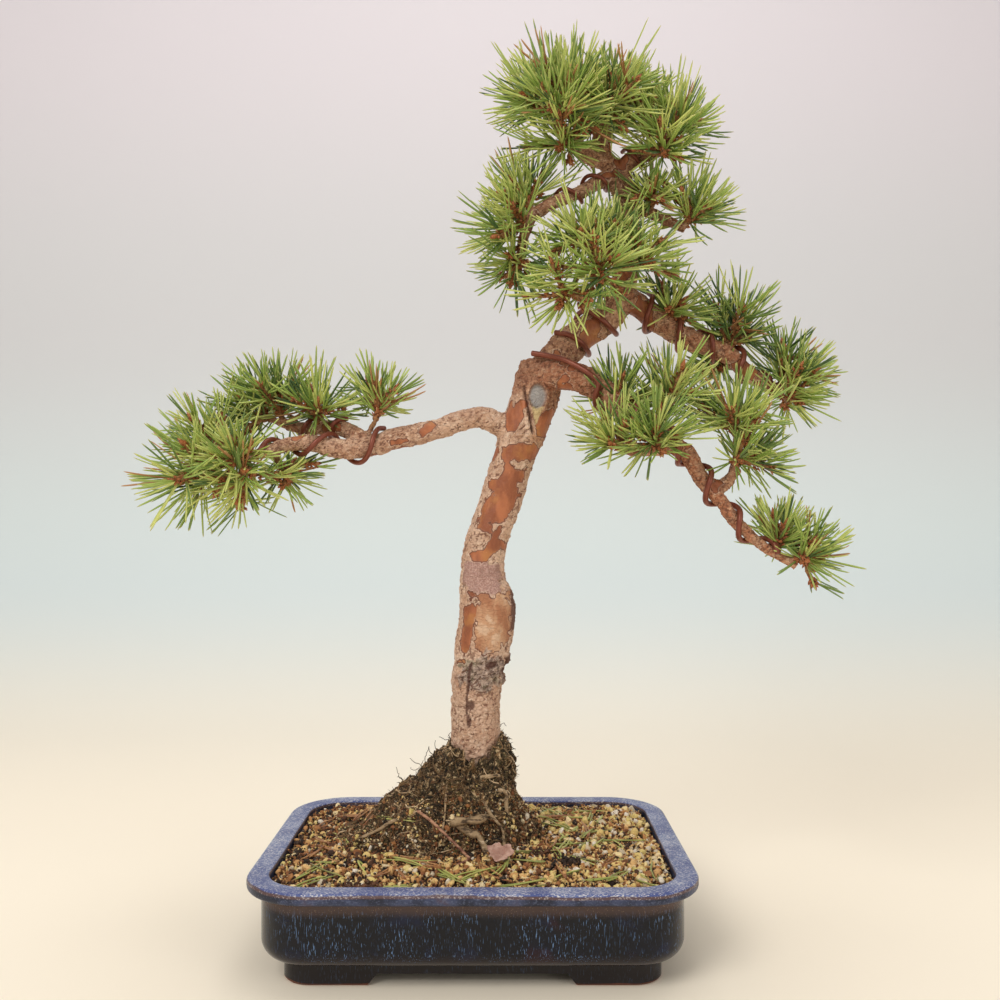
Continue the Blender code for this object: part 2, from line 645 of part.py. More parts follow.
def make_tuft(name, key, rows, obstacles, parts, material):
    """A ball of needles about its bud, flat where it meets its shoot and its neighbours."""
    centre, radius, heading, planes = tuft_planes(key, rows, obstacles)
    bm = bmesh.new()
    bmesh.ops.create_icosphere(bm, subdivisions=2, radius=radius)
    for vert in bm.verts:
        vert.co += centre + heading * 0.08 * vert.co.dot(heading)
    for spot, normal in planes:
        bmesh.ops.bisect_plane(bm, geom=bm.verts[:] + bm.edges[:] + bm.faces[:], dist=1e-7,
                               plane_co=spot, plane_no=-normal, clear_outer=True)
    bmesh.ops.remove_doubles(bm, verts=bm.verts, dist=0.3 * MM)
    bmesh.ops.delete(bm, geom=bm.faces[:], context="FACES_ONLY")
    hull = bmesh.ops.convex_hull(bm, input=bm.verts[:])
    spare = [item for item in hull["geom_interior"] + hull["geom_unused"]
             if isinstance(item, bmesh.types.BMVert)]
    bmesh.ops.delete(bm, geom=list(set(spare)), context="VERTS")
    loose = [edge for edge in bm.edges if not edge.link_faces]
    bmesh.ops.delete(bm, geom=loose, context="EDGES")
    return mesh_object(name, bm, parts, material, smooth=False)


def make_tufts(parts, material):
    rows = {(group, index): row for group, items in TUFTS.items()
            for index, row in enumerate(items, 1)}
    obstacles = []
    for limb in LIMBS:
        obstacles += [(None, *item) for item in segments(limb_path(limb))]
    for name in WIRES:
        obstacles += [(None, *item) for item in segments(wire_path(name))]
    for key, row in rows.items():
        obstacles += [(key, *item) for item in segments(twig_path(row)[0])]
    for key in rows:
        make_tuft(f"{key[0]}_{key[1]}", key, rows, obstacles, parts, material)


# ---------------------------------------------------------------- litter

def soil_height(y):
    """Height of the soil surface at a distance from the long centre line."""
    inset = cavity_half_size()[1] - abs(y)
    for (start, low), (end, high) in zip(SOIL_PROFILE, SOIL_PROFILE[1:]):
        if inset <= end:
            return low + (high - low) * (inset - start) / (end - start)
    return SOIL_PROFILE[-1][1]


def make_litter(parts, leaf_material, twig_material):
    """A dead leaf and a fallen twig on the soil in front of the root ball."""
    thickness = 1.8 * MM
    twig = [(x * MM, y * MM, soil_height(y * MM) + CLEARANCE + thickness / 2, thickness / 2)
            for x, y in ((-36, -45), (-22, -43.5), (-10, -44), (3, -46))]
    tube_curve("fallen_twig", smooth_path(twig, 6 * MM), parts, 8, twig_material)
    bm = bmesh.new()
    half_leaf = 8 * MM
    bmesh.ops.create_grid(bm, x_segments=4, y_segments=4, size=half_leaf)
    for vert in bm.verts:
        taper = math.sqrt(1 - 0.85 * (vert.co.x / half_leaf) ** 2)
        vert.co.y *= 0.75 * taper
        vert.co.z = 0.24 * abs(vert.co.y)
    leaf = mesh_object("dead_leaf", bm, parts, leaf_material)
    leaf.location = (15 * MM, -47 * MM, soil_height(-41 * MM) + CLEARANCE)
    skin = leaf.modifiers.new("thickness", "SOLIDIFY")
    skin.thickness = 0.6 * MM
    skin.offset = 1


# ---------------------------------------------------------------- assembly

def overall_box(parts):
    """Lowest and highest corner of every part."""
    bpy.context.view_layer.update()
    depsgraph = bpy.context.evaluated_depsgraph_get()
    spots = []
    for item in parts.objects:
        evaluated = item.evaluated_get(depsgraph)
        mesh = evaluated.to_mesh()
        spots += [item.matrix_world @ vert.co for vert in mesh.vertices]
        evaluated.to_mesh_clear()
    low = Vector([min(s[i] for s in spots) for i in range(3)])
    high = Vector([max(s[i] for s in spots) for i in range(3)])
    return low, high


def hang_from_origin(parts, cutters):
    """Puts the middle of the underside of the whole at the origin."""
    low, high = overall_box(parts)
    datum = bpy.data.objects.new("datum", None)
    bpy.context.scene.collection.objects.link(datum)
    for item in list(parts.objects) + list(cutters.all_objects):
        item.parent = datum
    datum.location = (-(low.x + high.x) / 2, -(low.y + high.y) / 2, -low.z)


def main():
    clear_scene()
    parts = new_collection("pine_bonsai")
    cutters = new_collection("cutters")
    glaze = finish_material("blue_glaze", (0.03, 0.05, 0.12), 0.2)
    plastic = finish_material("screen_plastic", (0.02, 0.02, 0.02), 0.5)
    clip_wire = finish_material("clip_wire", (0.6, 0.6, 0.6), 0.4, 1.0)
    grit = finish_material("grit", (0.35, 0.24, 0.13), 0.95)
    moss = finish_material("moss", (0.06, 0.06, 0.03), 1.0)
    bark = finish_material("bark", (0.42, 0.29, 0.21), 0.9)
    copper = finish_material("training_wire", (0.26, 0.1, 0.07), 0.4, 0.8)
    needle = finish_material("needles", (0.2, 0.34, 0.08), 0.6)
    leaf = finish_material("dry_leaf", (0.55, 0.38, 0.34), 0.8)
    make_pot(parts, cutters, glaze)
    for side, place in ((-1, "left"), (1, "right")):
        make_screen("drain_screen_" + place, side, parts, plastic)
        make_clip("screen_clip_" + place, side, parts, clip_wire)
    make_substrate(parts, cutters, grit)
    make_root_ball(parts, cutters, moss)
    make_wood(parts, cutters, bark)
    for name in WIRES:
        make_wire(name, parts, copper)
    make_tufts(parts, needle)
    make_litter(parts, leaf, bark)
    hang_from_origin(parts, cutters)


main()
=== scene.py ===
"""Looks of a wired pine bonsai in a blue-glazed pot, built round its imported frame.

Metres, +Z up, in the frame's own coordinates.  The tree is set out from the foot of its
trunk at soil level, the pot from the middle of its footprint.
"""

import math
import random

import bmesh
import bpy
import numpy as np
from bpy.props import FloatProperty, FloatVectorProperty, IntProperty, PointerProperty
from bpy.types import Operator, Panel, PropertyGroup
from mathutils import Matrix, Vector, noise
from mathutils.bvhtree import BVHTree
from mathutils.kdtree import KDTree


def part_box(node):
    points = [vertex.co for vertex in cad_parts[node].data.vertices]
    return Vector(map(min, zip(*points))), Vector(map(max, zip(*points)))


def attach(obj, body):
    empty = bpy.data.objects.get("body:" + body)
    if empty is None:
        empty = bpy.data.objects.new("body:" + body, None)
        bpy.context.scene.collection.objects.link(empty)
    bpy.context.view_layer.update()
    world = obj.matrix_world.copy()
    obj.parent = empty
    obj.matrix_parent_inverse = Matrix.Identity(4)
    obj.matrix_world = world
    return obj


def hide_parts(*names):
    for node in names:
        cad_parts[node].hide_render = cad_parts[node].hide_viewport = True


bl_info = {
    "name": "Wired Pine Bonsai",
    "version": (1, 0, 0),
    "blender": (4, 5, 0),
    "location": "View3D > Sidebar > Bonsai",
    "description": "Builds a wired pine bonsai in a glazed pot round its frame",
    "category": "Object",
}

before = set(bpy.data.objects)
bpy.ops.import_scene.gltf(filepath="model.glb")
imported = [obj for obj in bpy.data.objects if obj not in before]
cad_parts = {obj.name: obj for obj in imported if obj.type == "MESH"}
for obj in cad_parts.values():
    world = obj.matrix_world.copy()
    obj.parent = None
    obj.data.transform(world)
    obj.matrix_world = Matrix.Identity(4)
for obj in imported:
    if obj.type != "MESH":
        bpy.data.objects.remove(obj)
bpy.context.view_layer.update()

MM = 0.001
BODY = "root"
pot_low, pot_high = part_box("pot")
POT_CENTRE = (pot_low + pot_high) / 2
POT_HALF = (pot_high - pot_low) / 2
SOIL_DROP = 4 * MM                       # rim to soil
FOOT = Vector((POT_CENTRE.x, POT_CENTRE.y, pot_high.z - SOIL_DROP))
BALL_TOP = 67                            # mm, top of the root ball above soil level
SOCKET_DEPTH = 60                        # mm, foot of the trunk below that
DRAIN_RADIUS, DRAIN_ACROSS = 9 * MM, 52 * MM
SOIL_INSET, SOIL_CORNER = 12.5 * MM, 24 * MM
GRIT_PIECES = 10
MOUND_SPECKS = 9500
FIBRE_STEPS = 12
STEPS_PER_TURN = 28
WIRE_CLEARANCE = 0.45 * MM
NEEDLE_SIDES = 3

# Limbs: centre-line points in mm from the foot of the trunk, each with the limb's radius.
LIMBS = {
    "trunk": [
        (0, 0, 90, 15.2), (2, 0, 108, 16.2), (6, 0, 133, 17.2), (7, 0, 150, 16.8),
        (4, 0, 163, 14.2), (7, 0, 187, 13.2), (14, 0, 206, 13), (23, 0, 235, 13.2),
        (30, 1, 256, 14.8), (37, 2, 276, 14.8), (38, 2, 290, 13.5), (37, 2, 299, 9.5)],
    "left": [
        (27, 1, 251, 9), (13, -2, 259, 7.4), (2, -5, 262, 6.8), (-11, -8, 259, 6.4),
        (-25, -10, 254, 6.5), (-49, -14, 248, 6.8), (-66, -16, 243, 6.8), (-80, -19, 242, 6.2),
        (-98, -22, 245, 5.2), (-111, -24, 244, 4.4), (-126, -27, 239, 3.4), (-142, -29, 234, 2.8)],
    "left_upper": [
        (-62, -16, 244, 5.2), (-73, -12, 251, 5), (-85, -4, 256, 5), (-98, 2, 256, 4.5),
        (-110, 7, 257, 3.8), (-124, 10, 261, 3)],
    "leader": [
        (37, 2, 282, 12), (52, 6, 302, 11), (64, 10, 314, 10.5), (82, 14, 327, 9.8),
        (92, 16, 342, 8.6), (96, 16, 365, 7.4), (97, 13, 388, 6.5), (95, 10, 403, 6.3),
        (91, 7, 414, 6), (84, 5, 422, 5.6), (74, 4, 425, 5.2), (64, 2, 432, 4.6),
        (52, 0, 445, 4), (42, 0, 459, 3.3)],
    "crown": [
        (82, 5, 421, 4.8), (81, 5, 432, 4.2), (80, 4, 444, 3.8), (79, 3, 456, 3.2)],
    "apex_right": [
        (89, 7, 415, 6), (97, 5, 425, 5.8), (108, 3, 429, 5), (118, 2, 430, 3.8)],
    "side_right": [
        (96, 12, 398, 4.6), (108, 8, 393, 3.8), (120, 6, 387, 3.4), (131, 4, 381, 3)],
    "upper_left": [
        (94, 10, 401, 5.6), (86, 5, 411, 5.2), (78, 2, 411, 5), (68, -1, 404, 4.6),
        (56, -5, 398, 4.2), (44, -8, 392, 3.8), (34, -10, 384, 3.4), (29, -9, 370, 3),
        (27, -8, 356, 2.5)],
    "upper_right": [
        (90, 15, 339, 8.5), (100, 17, 338, 8.3), (112, 18, 329, 8), (131, 20, 317, 7.2),
        (147, 22, 311, 6.6), (162, 24, 305, 6.2), (173, 25, 295, 5.4), (185, 25, 287, 4.5),
        (196, 25, 282, 3.4)],
    "centre": [
        (96, 16, 352, 5), (90, 4, 360, 4.4), (80, -12, 362, 3.8), (70, -24, 358, 3)],
    "lower_right": [
        (38, 1, 286, 11), (51, -10, 288, 9.6), (66, -18, 283, 8.4), (77, -22, 276, 7.5),
        (86, -24, 266, 7), (97, -26, 259, 6.5), (108, -28, 251, 6), (118, -30, 243, 5.9),
        (126, -30, 237, 5.5), (131, -30, 228, 5), (137, -30, 219, 4.8), (146, -30, 209, 4.2),
        (152, -30, 200, 3.8), (161, -30, 191, 3.3), (171, -30, 183, 3), (189, -30, 172, 2.5)],
    "lower_spur": [
        (134, -30, 223, 3.8), (146, -28, 219, 3.6), (153, -25, 226, 3.2), (156, -23, 236, 2.7)],
    "lower_back_spur": [
        (119, -30, 242, 3.8), (105, -34, 240, 3.4), (93, -38, 239, 3), (83, -41, 242, 2.6)],
}

# Wires: limb, start and end of the coil along it (0 to 1), turns (negative for the other
# hand), and the angle of its first point about the limb, in degrees from the upper side.
WIRES = {
    "wire_left_lower": ("left", 0.48, 0.93, -2.4, 20),
    "wire_left_upper": ("left_upper", 0.32, 0.92, -2.0, 0),
    "wire_leader": ("leader", 0.14, 0.34, 2.0, 20),
    "wire_upper_right": ("upper_right", 0.12, 0.97, 4.5, 0),
    "wire_lower_right": ("lower_right", 0.22, 0.93, 5.0, 75),
    "wire_upper_left": ("upper_left", 0.16, 0.56, 2.0, 130),
    "wire_apex": ("apex_right", 0.36, 0.62, 1.0, 0),
}

# The cut end of the lower right wire, in mm, lies over the trunk before its coil starts.
WIRE_LEADS = {
    "wire_lower_right": [(35, -10, 300.8), (44, -15, 298.5), (54, -22.8, 294.5), (66, -29, 287)],
}

# Buds of the shoots that carry needles, in mm from the foot of the trunk, and the reach of
# their needles as a share of the usual one.  Each row belongs to the node of its number.
BUDS = {
    "needles_crown": [
        (33, 0, 464, 1.0), (48, 12, 475, 1.0), (66, -8, 472, 1.0), (82, -20, 452, 1.0),
        (56, -28, 444, 1.0), (95, 10, 470, 0.95), (51, -18, 424, 0.95), (72, 26, 453, 1.0)],
    "needles_apex": [
        (107, 8, 457, 0.95), (130, -2, 449, 1.0), (115, -16, 422, 0.85)],
    "needles_side": [
        (108, -8, 402, 0.7), (141, 2, 396, 0.95)],
    "needles_cloud": [
        (27, -3, 403, 0.95), (15, -10, 377, 1.05), (22, -9, 344, 0.95)],
    "needles_centre": [
        (57, -36, 366, 1.0), (73, -50, 337, 1.0), (49, -40, 324, 0.9), (105, -22, 354, 0.95),
        (86, -8, 376, 0.95)],
    "needles_upper": [
        (130, 10, 337, 0.9), (168, 26, 327, 1.05), (154, 42, 300, 0.8), (208, 27, 295, 1.0),
        (204, 13, 274, 0.95)],
    "needles_lower": [
        (90, -14, 270, 0.9), (119, -20, 279, 1.1), (104, -54, 250, 0.95), (74, -44, 246, 0.9),
        (155, -22, 268, 1.05), (168, -24, 236, 0.9), (184, -24, 194, 0.85),
        (204, -32, 178, 0.9)],
    "needles_left": [
        (-126, 6, 280, 1.05), (-95, -14, 270, 0.95), (-149, 12, 267, 1.0),
        (-166, -6, 248, 1.0), (-139, -48, 232, 0.95), (-172, -28, 222, 1.15),
        (-138, -34, 210, 1.0), (-114, -6, 221, 0.8)],
    "needles_shoot": [
        (-57, -7, 274, 0.85)],
}


# ---------------------------------------------------------------- shader maths

def colour(red, green, blue):
    """Linear colour of a display colour whose parts run from 0 to 255."""
    parts = (red / 255, green / 255, blue / 255)
    return tuple(c / 12.92 if c <= 0.04045 else ((c + 0.055) / 1.055) ** 2.4 for c in parts)


class Shade:
    """A value in a material; arithmetic on it adds Math nodes."""

    def __init__(self, paint, socket):
        self.paint = paint
        self.socket = socket

    def maths(self, operation, *values):
        return self.paint.node("ShaderNodeMath", {"operation": operation},
                               dict(enumerate(values)))

    def __add__(self, other):
        return self.maths("ADD", self, other)

    def __radd__(self, other):
        return self.maths("ADD", other, self)

    def __sub__(self, other):
        return self.maths("SUBTRACT", self, other)

    def __rsub__(self, other):
        return self.maths("SUBTRACT", other, self)

    def __mul__(self, other):
        return self.maths("MULTIPLY", self, other)

    def __rmul__(self, other):
        return self.maths("MULTIPLY", other, self)


class Paint:
    """One procedural material and its node tree."""

    def __init__(self, name):
        self.material = bpy.data.materials.new(name)
        self.material.use_nodes = True
        self.tree = self.material.node_tree
        self.shader = self.tree.nodes["Principled BSDF"]
        self.place = self.node("ShaderNodeTexCoord", output="Object")

    def node(self, kind, settings=None, sockets=None, output=0):
        """Adds a node: its settings first, then the values or links of its sockets."""
        item = self.tree.nodes.new(kind)
        for key, value in (settings or {}).items():
            if key == "stops":
                self.set_stops(item.color_ramp, value)
            else:
                setattr(item, key, value)
        for key, value in (sockets or {}).items():
            self.feed(item.inputs[key], value)
        return Shade(self, item.outputs[output])

    def set_stops(self, ramp, stops):
        while len(ramp.elements) < len(stops):
            ramp.elements.new(1.0)
        for element, (position, tint) in zip(ramp.elements, stops):
            element.position = position
            element.color = (*tint, 1)

    def feed(self, socket, value):
        if isinstance(value, Shade):
            self.tree.links.new(value.socket, socket)
        elif socket.type == "RGBA":
            socket.default_value = (*value[:3], 1)
        else:
            socket.default_value = value

    def mix(self, factor, first, second):
        """Mixes two colours."""
        return self.node("ShaderNodeMix", {"data_type": "RGBA"},
                         {0: factor, 6: first, 7: second}, output=2)

    def over(self, tint, *layers):
        """Lays colours over each other, each by its mask."""
        for mask, layer in layers:
            tint = self.mix(mask, tint, layer)
        return tint

    def noise(self, place, scale, detail=3.0, roughness=0.55):
        return self.node("ShaderNodeTexNoise", sockets={
            "Vector": place, "Scale": scale, "Detail": detail, "Roughness": roughness})

    def cells(self, place, scale, feature="F1"):
        return self.node("ShaderNodeTexVoronoi", {"feature": feature},
                         {"Vector": place, "Scale": scale}, output="Distance")

    def vector(self, operation, **sockets):
        """A Vector Math node; a and b are its vectors, other names its own sockets."""
        names = {"a": 0, "b": 1}
        return self.node("ShaderNodeVectorMath", {"operation": operation},
                         {names.get(key, key): value for key, value in sockets.items()})

    def stretched(self, x, y, z):
        """Object coordinates scaled along each axis."""
        return self.vector("MULTIPLY", a=self.place, b=(x, y, z))

    def bent(self, place, scale, amount):
        """Coordinates pushed about by a noise."""
        push = self.node("ShaderNodeTexNoise", sockets={
            "Vector": place, "Scale": scale, "Detail": 2.0}, output="Color")
        push = self.vector("SUBTRACT", a=push, b=(0.5, 0.5, 0.5))
        push = self.vector("SCALE", a=push, Scale=amount)
        return self.vector("ADD", a=place, b=push)

    def level(self, axis="Z"):
        return self.node("ShaderNodeSeparateXYZ", sockets={0: self.place}, output=axis)

    def rise(self, value, low, high):
        """0 below low, 1 above high, smooth between; low may be the larger."""
        return self.node("ShaderNodeMapRange", {"interpolation_type": "SMOOTHSTEP"}, {
            "Value": value, "From Min": low, "From Max": high})

    def band(self, value, low, full_from, full_to, high):
        """1 between the two inner levels, 0 outside the two outer ones."""
        return self.rise(value, low, full_from) * self.rise(value, high, full_to)

    def ramp(self, value, *stops):
        return self.node("ShaderNodeValToRGB", {"stops": stops}, {0: value}, output="Color")

    def attribute(self, name):
        return self.node("ShaderNodeAttribute", {"attribute_name": name}, output="Fac")

    def finish(self, tint, roughness, bump=None, depth=1 * MM, strength=1.0, **constants):
        """Feeds the shader and returns the material."""
        self.feed(self.shader.inputs["Base Color"], tint)
        self.feed(self.shader.inputs["Roughness"], roughness)
        for key, value in constants.items():
            self.feed(self.shader.inputs[key.replace("_", " ")], value)
        if bump is not None:
            normal = self.node("ShaderNodeBump", sockets={
                "Height": bump, "Distance": depth, "Strength": strength}, output="Normal")
            self.feed(self.shader.inputs["Normal"], normal)
        return self.material


# ---------------------------------------------------------------- mesh kit

def link(name, data):
    """A new object in the scene."""
    item = bpy.data.objects.new(name, data)
    bpy.context.scene.collection.objects.link(item)
    return item


def mesh_from(name, bm):
    """A mesh of what a bmesh holds, which is then freed."""
    mesh = bpy.data.meshes.new(name)
    bm.to_mesh(mesh)
    bm.free()
    return mesh


def write_notes(mesh, notes):
    """Keeps numbers at every point of a mesh for its material."""
    for key, values in notes.items():
        layer = mesh.attributes.new(key, "FLOAT", "POINT")
        layer.data.foreach_set("value", np.asarray(values, np.float32))


def make_mesh(name, points, faces, notes=None, smooth=True):
    mesh = bpy.data.meshes.new(name)
    mesh.from_pydata(np.asarray(points).tolist(), [], faces)
    if smooth:
        mesh.shade_smooth()
    write_notes(mesh, notes or {})
    return mesh


def add_piece(name, mesh, material, slot, *nodes):
    """A shown piece that rides with the tree, and the frame nodes it stands for."""
    piece = link(name, mesh)
    mesh.materials.clear()
    mesh.materials.append(material)
    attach(piece, BODY)
    if nodes:
        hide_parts(*nodes)
    return piece


def smooth_path(points, step):
    """Points about a step apart on a Catmull-Rom curve."""
    rows = np.array([points[0], *points, points[-1]], float)
    result = []
    for before, start, end, after in zip(rows, rows[1:], rows[2:], rows[3:]):
        count = max(1, round(np.linalg.norm(end[:3] - start[:3]) / step))
        for t in np.arange(count) / count:
            result.append(0.5 * (
                2 * start + (end - before) * t
                + (2 * before - 5 * start + 4 * end - after) * t ** 2
                + (3 * start - before - 3 * end + after) * t ** 3))
    result.append(rows[-1])
    return np.array(result)


def unit(vectors):
    return vectors / np.maximum(np.linalg.norm(vectors, axis=-1, keepdims=True), 1e-12)


def tubes(paths, radii, sides, flatness=1.0, start_side=None):
    """Points and faces of many closed tubes with the same count of rings.

    paths is tubes x rings x 3, radii is tubes x rings.
    """
    count, rings, _ = paths.shape
    along = unit(np.gradient(paths, axis=1))
    side = start_side
    if side is None:
        side = np.where(np.abs(along[:, :1, 2:]) < 0.8, [[[0.0, 0, 1]]], [[[1.0, 0, 0]]])[:, 0]
    angles = np.arange(sides) * math.tau / sides
    points = np.empty((count, rings, sides, 3))
    for ring in range(rings):
        ahead = along[:, ring]
        side = unit(side - (side * ahead).sum(-1, keepdims=True) * ahead)
        across = np.cross(ahead, side)
        spread = (np.cos(angles)[None, :, None] * across[:, None]
                  + flatness * np.sin(angles)[None, :, None] * side[:, None])
        points[:, ring] = paths[:, ring, None] + radii[:, ring, None, None] * spread
    base = (np.arange(count) * rings * sides)[:, None, None, None]
    ring = (np.arange(rings - 1) * sides)[None, :, None, None]
    s = np.arange(sides)
    corners = np.stack([s, (s + 1) % sides, (s + 1) % sides + sides, s + sides], -1)
    quads = (base + ring + corners[None, None]).reshape(-1, 4)
    ends = base[:, :, :, 0] + np.stack([s[::-1], s + (rings - 1) * sides])[None]
    faces = quads.tolist() + ends.reshape(-1, sides).tolist()
    return points.reshape(-1, 3), faces


def baked(item):
    """An object's mesh with its modifiers applied."""
    bpy.context.view_layer.update()
    evaluated = item.evaluated_get(bpy.context.evaluated_depsgraph_get())
    return bpy.data.meshes.new_from_object(evaluated)


def remeshed(name, meshes, voxel, smoothing):
    """One even skin round all the meshes together, with its facets relaxed."""
    bm = bmesh.new()
    for mesh in meshes:
        bm.from_mesh(mesh)
    guide = link(name + "_guide", mesh_from(name, bm))
    skin = guide.modifiers.new("skin", "REMESH")
    skin.mode = "VOXEL"
    skin.voxel_size = voxel
    for factor in (0.5, -0.53):
        relax = guide.modifiers.new("relax", "SMOOTH")
        relax.factor = factor
        relax.iterations = smoothing
    mesh = baked(guide)
    mesh.name = name
    bpy.data.objects.remove(guide, do_unlink=True)
    return mesh


def read_skin(mesh):
    """Every point of a mesh, and its normal."""
    result = []
    for source, field in ((mesh.vertices, "co"), (mesh.vertex_normals, "vector")):
        values = np.empty(len(source) * 3, np.float32)
        source.foreach_get(field, values)
        result.append(values.reshape(-1, 3).astype(float))
    return result


def write_points(mesh, points):
    mesh.vertices.foreach_set("co", np.asarray(points, np.float32).ravel())
    mesh.update()


def tree_of(mesh):
    """A search tree over a mesh's faces."""
    return BVHTree.FromPolygons([v.co for v in mesh.vertices],
                                [p.vertices for p in mesh.polygons])


def smoothstep(value, low, high):
    t = np.clip((value - low) / (high - low), 0, 1)
    return t * t * (3 - 2 * t)


def from_foot(x, y, z):
    return FOOT + Vector((x, y, z)) * MM


def dice(seed):
    return np.random.default_rng(seed)


# ---------------------------------------------------------------- settings

def size_setting(name, description, millimetres):
    return FloatProperty(name=name, description=description, default=millimetres * MM, min=0,
                         unit="LENGTH")


def colour_setting(name, description, red, green, blue):
    return FloatVectorProperty(name=name, description=description, subtype="COLOR",
                               default=colour(red, green, blue))


def count_setting(name, description, count):
    return IntProperty(name=name, description=description, default=count, min=0)


class PotSettings(PropertyGroup):
    """Sizes and glaze colours of the pot."""
    lip_width: size_setting("Lip width", "Outside of the lip to the cavity", 12.5)
    lip_depth: size_setting("Lip depth", "Height of the lip's outer face", 6.5)
    lip_overhang: size_setting("Lip overhang", "Lip beyond the body", 8)
    corner: size_setting("Corner radius", "Radius of the lip's corners in plan", 37)
    foot_height: size_setting("Foot height", "Clear height under the pot", 6.3)
    rim_blue: colour_setting("Rim", "Glaze on top of the rim", 112, 124, 166)
    body_blue: colour_setting("Body", "Dark glaze of the body", 8, 10, 20)
    streak_blue: colour_setting("Streaks", "Fine runs in the body's glaze", 112, 146, 190)
    clay: colour_setting("Clay", "Bare fired clay under the feet", 120, 72, 52)


class SoilSettings(PropertyGroup):
    """The gritty soil, its loose litter and the old root ball."""
    grains: count_setting("Grains", "Loose grains on the surface", 6200)
    grain_size: size_setting("Grain size", "Usual width of a grain", 3.2)
    crumbs: count_setting("Crumbs", "Small crumbs between the grains", 8000)
    loose_needles: count_setting("Loose needles", "Fallen needles on the soil", 130)
    fibres: count_setting("Fibres", "Fine roots on the root ball", 760)
    tan: colour_setting("Tan grit", "Commonest grain colour", 234, 192, 128)
    moss: colour_setting("Moss", "Dark matted moss and peat", 92, 78, 48)


class BarkSettings(PropertyGroup):
    """Bark of the trunk and limbs."""
    plate_size: size_setting("Plate size", "Width of a bark plate", 8)
    relief: size_setting("Relief", "Depth of the cracks between plates", 0.6)
    pale: colour_setting("Plates", "Pale outer plates", 228, 198, 174)
    orange: colour_setting("Under-bark", "Smooth bark where plates fell", 182, 110, 70)
    brown: colour_setting("Old bark", "Rough bark of the upper limbs", 160, 110, 82)


class WireSettings(PropertyGroup):
    """Training wire."""
    diameter: size_setting("Diameter", "Thickness of the wire", 3.4)
    brown: colour_setting("Coating", "Copper-brown coating", 140, 76, 56)


class NeedleSettings(PropertyGroup):
    """Needles, buds and shoots."""
    pairs: count_setting("Pairs", "Pairs of needles on a main shoot", 25)
    length: size_setting("Length", "Usual length of a needle", 27)
    width: size_setting("Width", "Width of a needle", 1.5)
    young: colour_setting("Young green", "Light yellow-green needles", 216, 222, 128)
    green: colour_setting("Green", "Usual needle colour", 156, 182, 86)
    deep: colour_setting("Deep green", "Older, darker needles", 70, 98, 56)


class StageSettings(PropertyGroup):
    """Backdrop and camera."""
    distance: size_setting("Camera distance", "Camera to the pot's middle", 627)
    height: size_setting("Camera height", "Camera above the floor", 250.5)
    tilt: FloatProperty(name="Camera tilt", description="Camera's upward tilt",
                        default=0.0208, subtype="ANGLE")


# ---------------------------------------------------------------- pot

def outline(half_length, half_width, corner, level, corner_points=14):
    """Points of a rectangle with round corners at one height, anticlockwise."""
    points = []
    for quarter in range(4):
        side_x = 1 if quarter in (0, 3) else -1
        side_y = 1 if quarter in (0, 1) else -1
        centre = Vector((side_x * (half_length - corner), side_y * (half_width - corner), level))
        for step in range(corner_points):
            angle = math.radians(90) * (quarter + step / (corner_points - 1))
            points.append(centre + corner * Vector((math.cos(angle), math.sin(angle), 0)))
    return [(POT_CENTRE.x + p.x, POT_CENTRE.y + p.y, p.z) for p in points]


def arc(centre_inset, centre_level, radius, start, end, steps=5):
    """Profile points of a quarter round; angle 0 points outwards and 90 up."""
    rows = []
    for step in range(steps + 1):
        angle = math.radians(start + (end - start) * step / steps)
        rows.append((centre_inset - radius * math.cos(angle),
                     centre_level + radius * math.sin(angle)))
    return rows


def pot_profile(pot):
    """Inset from the lip and height, from the cavity's floor over the lip to the foot."""
    top = pot_high.z
    fillet = 5 * MM                     # cavity wall to floor
    lip_edge, lip_round = 1.2 * MM, 2.2 * MM
    plinth, plinth_top, belly = 20.5 * MM, 12.7 * MM, 10 * MM
    body, lip_foot = pot.lip_overhang, top - pot.lip_depth
    floor = pot.foot_height + 6.7 * MM
    rows = arc(pot.lip_width + fillet, floor + fillet, fillet, 270, 360 - 0.01)
    rows += arc(pot.lip_width - lip_edge, top - lip_edge, lip_edge, 180, 90)
    rows += arc(lip_round, top - lip_round, lip_round, 90, 0)
    rows += arc(lip_round, lip_foot + lip_round, lip_round, 0, -90)
    rows += [(body - 1.5 * MM, lip_foot - 0.1 * MM), (body - 0.4 * MM, lip_foot - 0.6 * MM)]
    rows += [(body, lip_foot - (1.8 + 3.2 * step) * MM) for step in range(8)]
    rows += arc(body + belly, plinth_top + belly, belly, 0, -80, 8)
    rows += [(plinth - 0.6 * MM, plinth_top - 0.3 * MM), (plinth, plinth_top - 0.9 * MM),
             (plinth, 8 * MM), (plinth, 1 * MM), (plinth + 0.8 * MM, 0)]
    return rows


def pot_body_mesh(pot):
    bm = bmesh.new()
    loops = []
    for inset, level in pot_profile(pot):
        corner = max(pot.corner - inset, 2 * MM)
        ring = outline(POT_HALF.x - inset, POT_HALF.y - inset, corner, level)
        loops.append([bm.verts.new(p) for p in ring])
    for lower, upper in zip(loops, loops[1:]):
        for i in range(len(lower)):
            j = (i + 1) % len(lower)
            bm.faces.new((lower[i], upper[i], upper[j], lower[j]))
    bm.faces.new(loops[0])
    bm.faces.new(loops[-1][::-1])
    bmesh.ops.recalc_face_normals(bm, faces=bm.faces)
    return mesh_from("pot_glazed", bm)


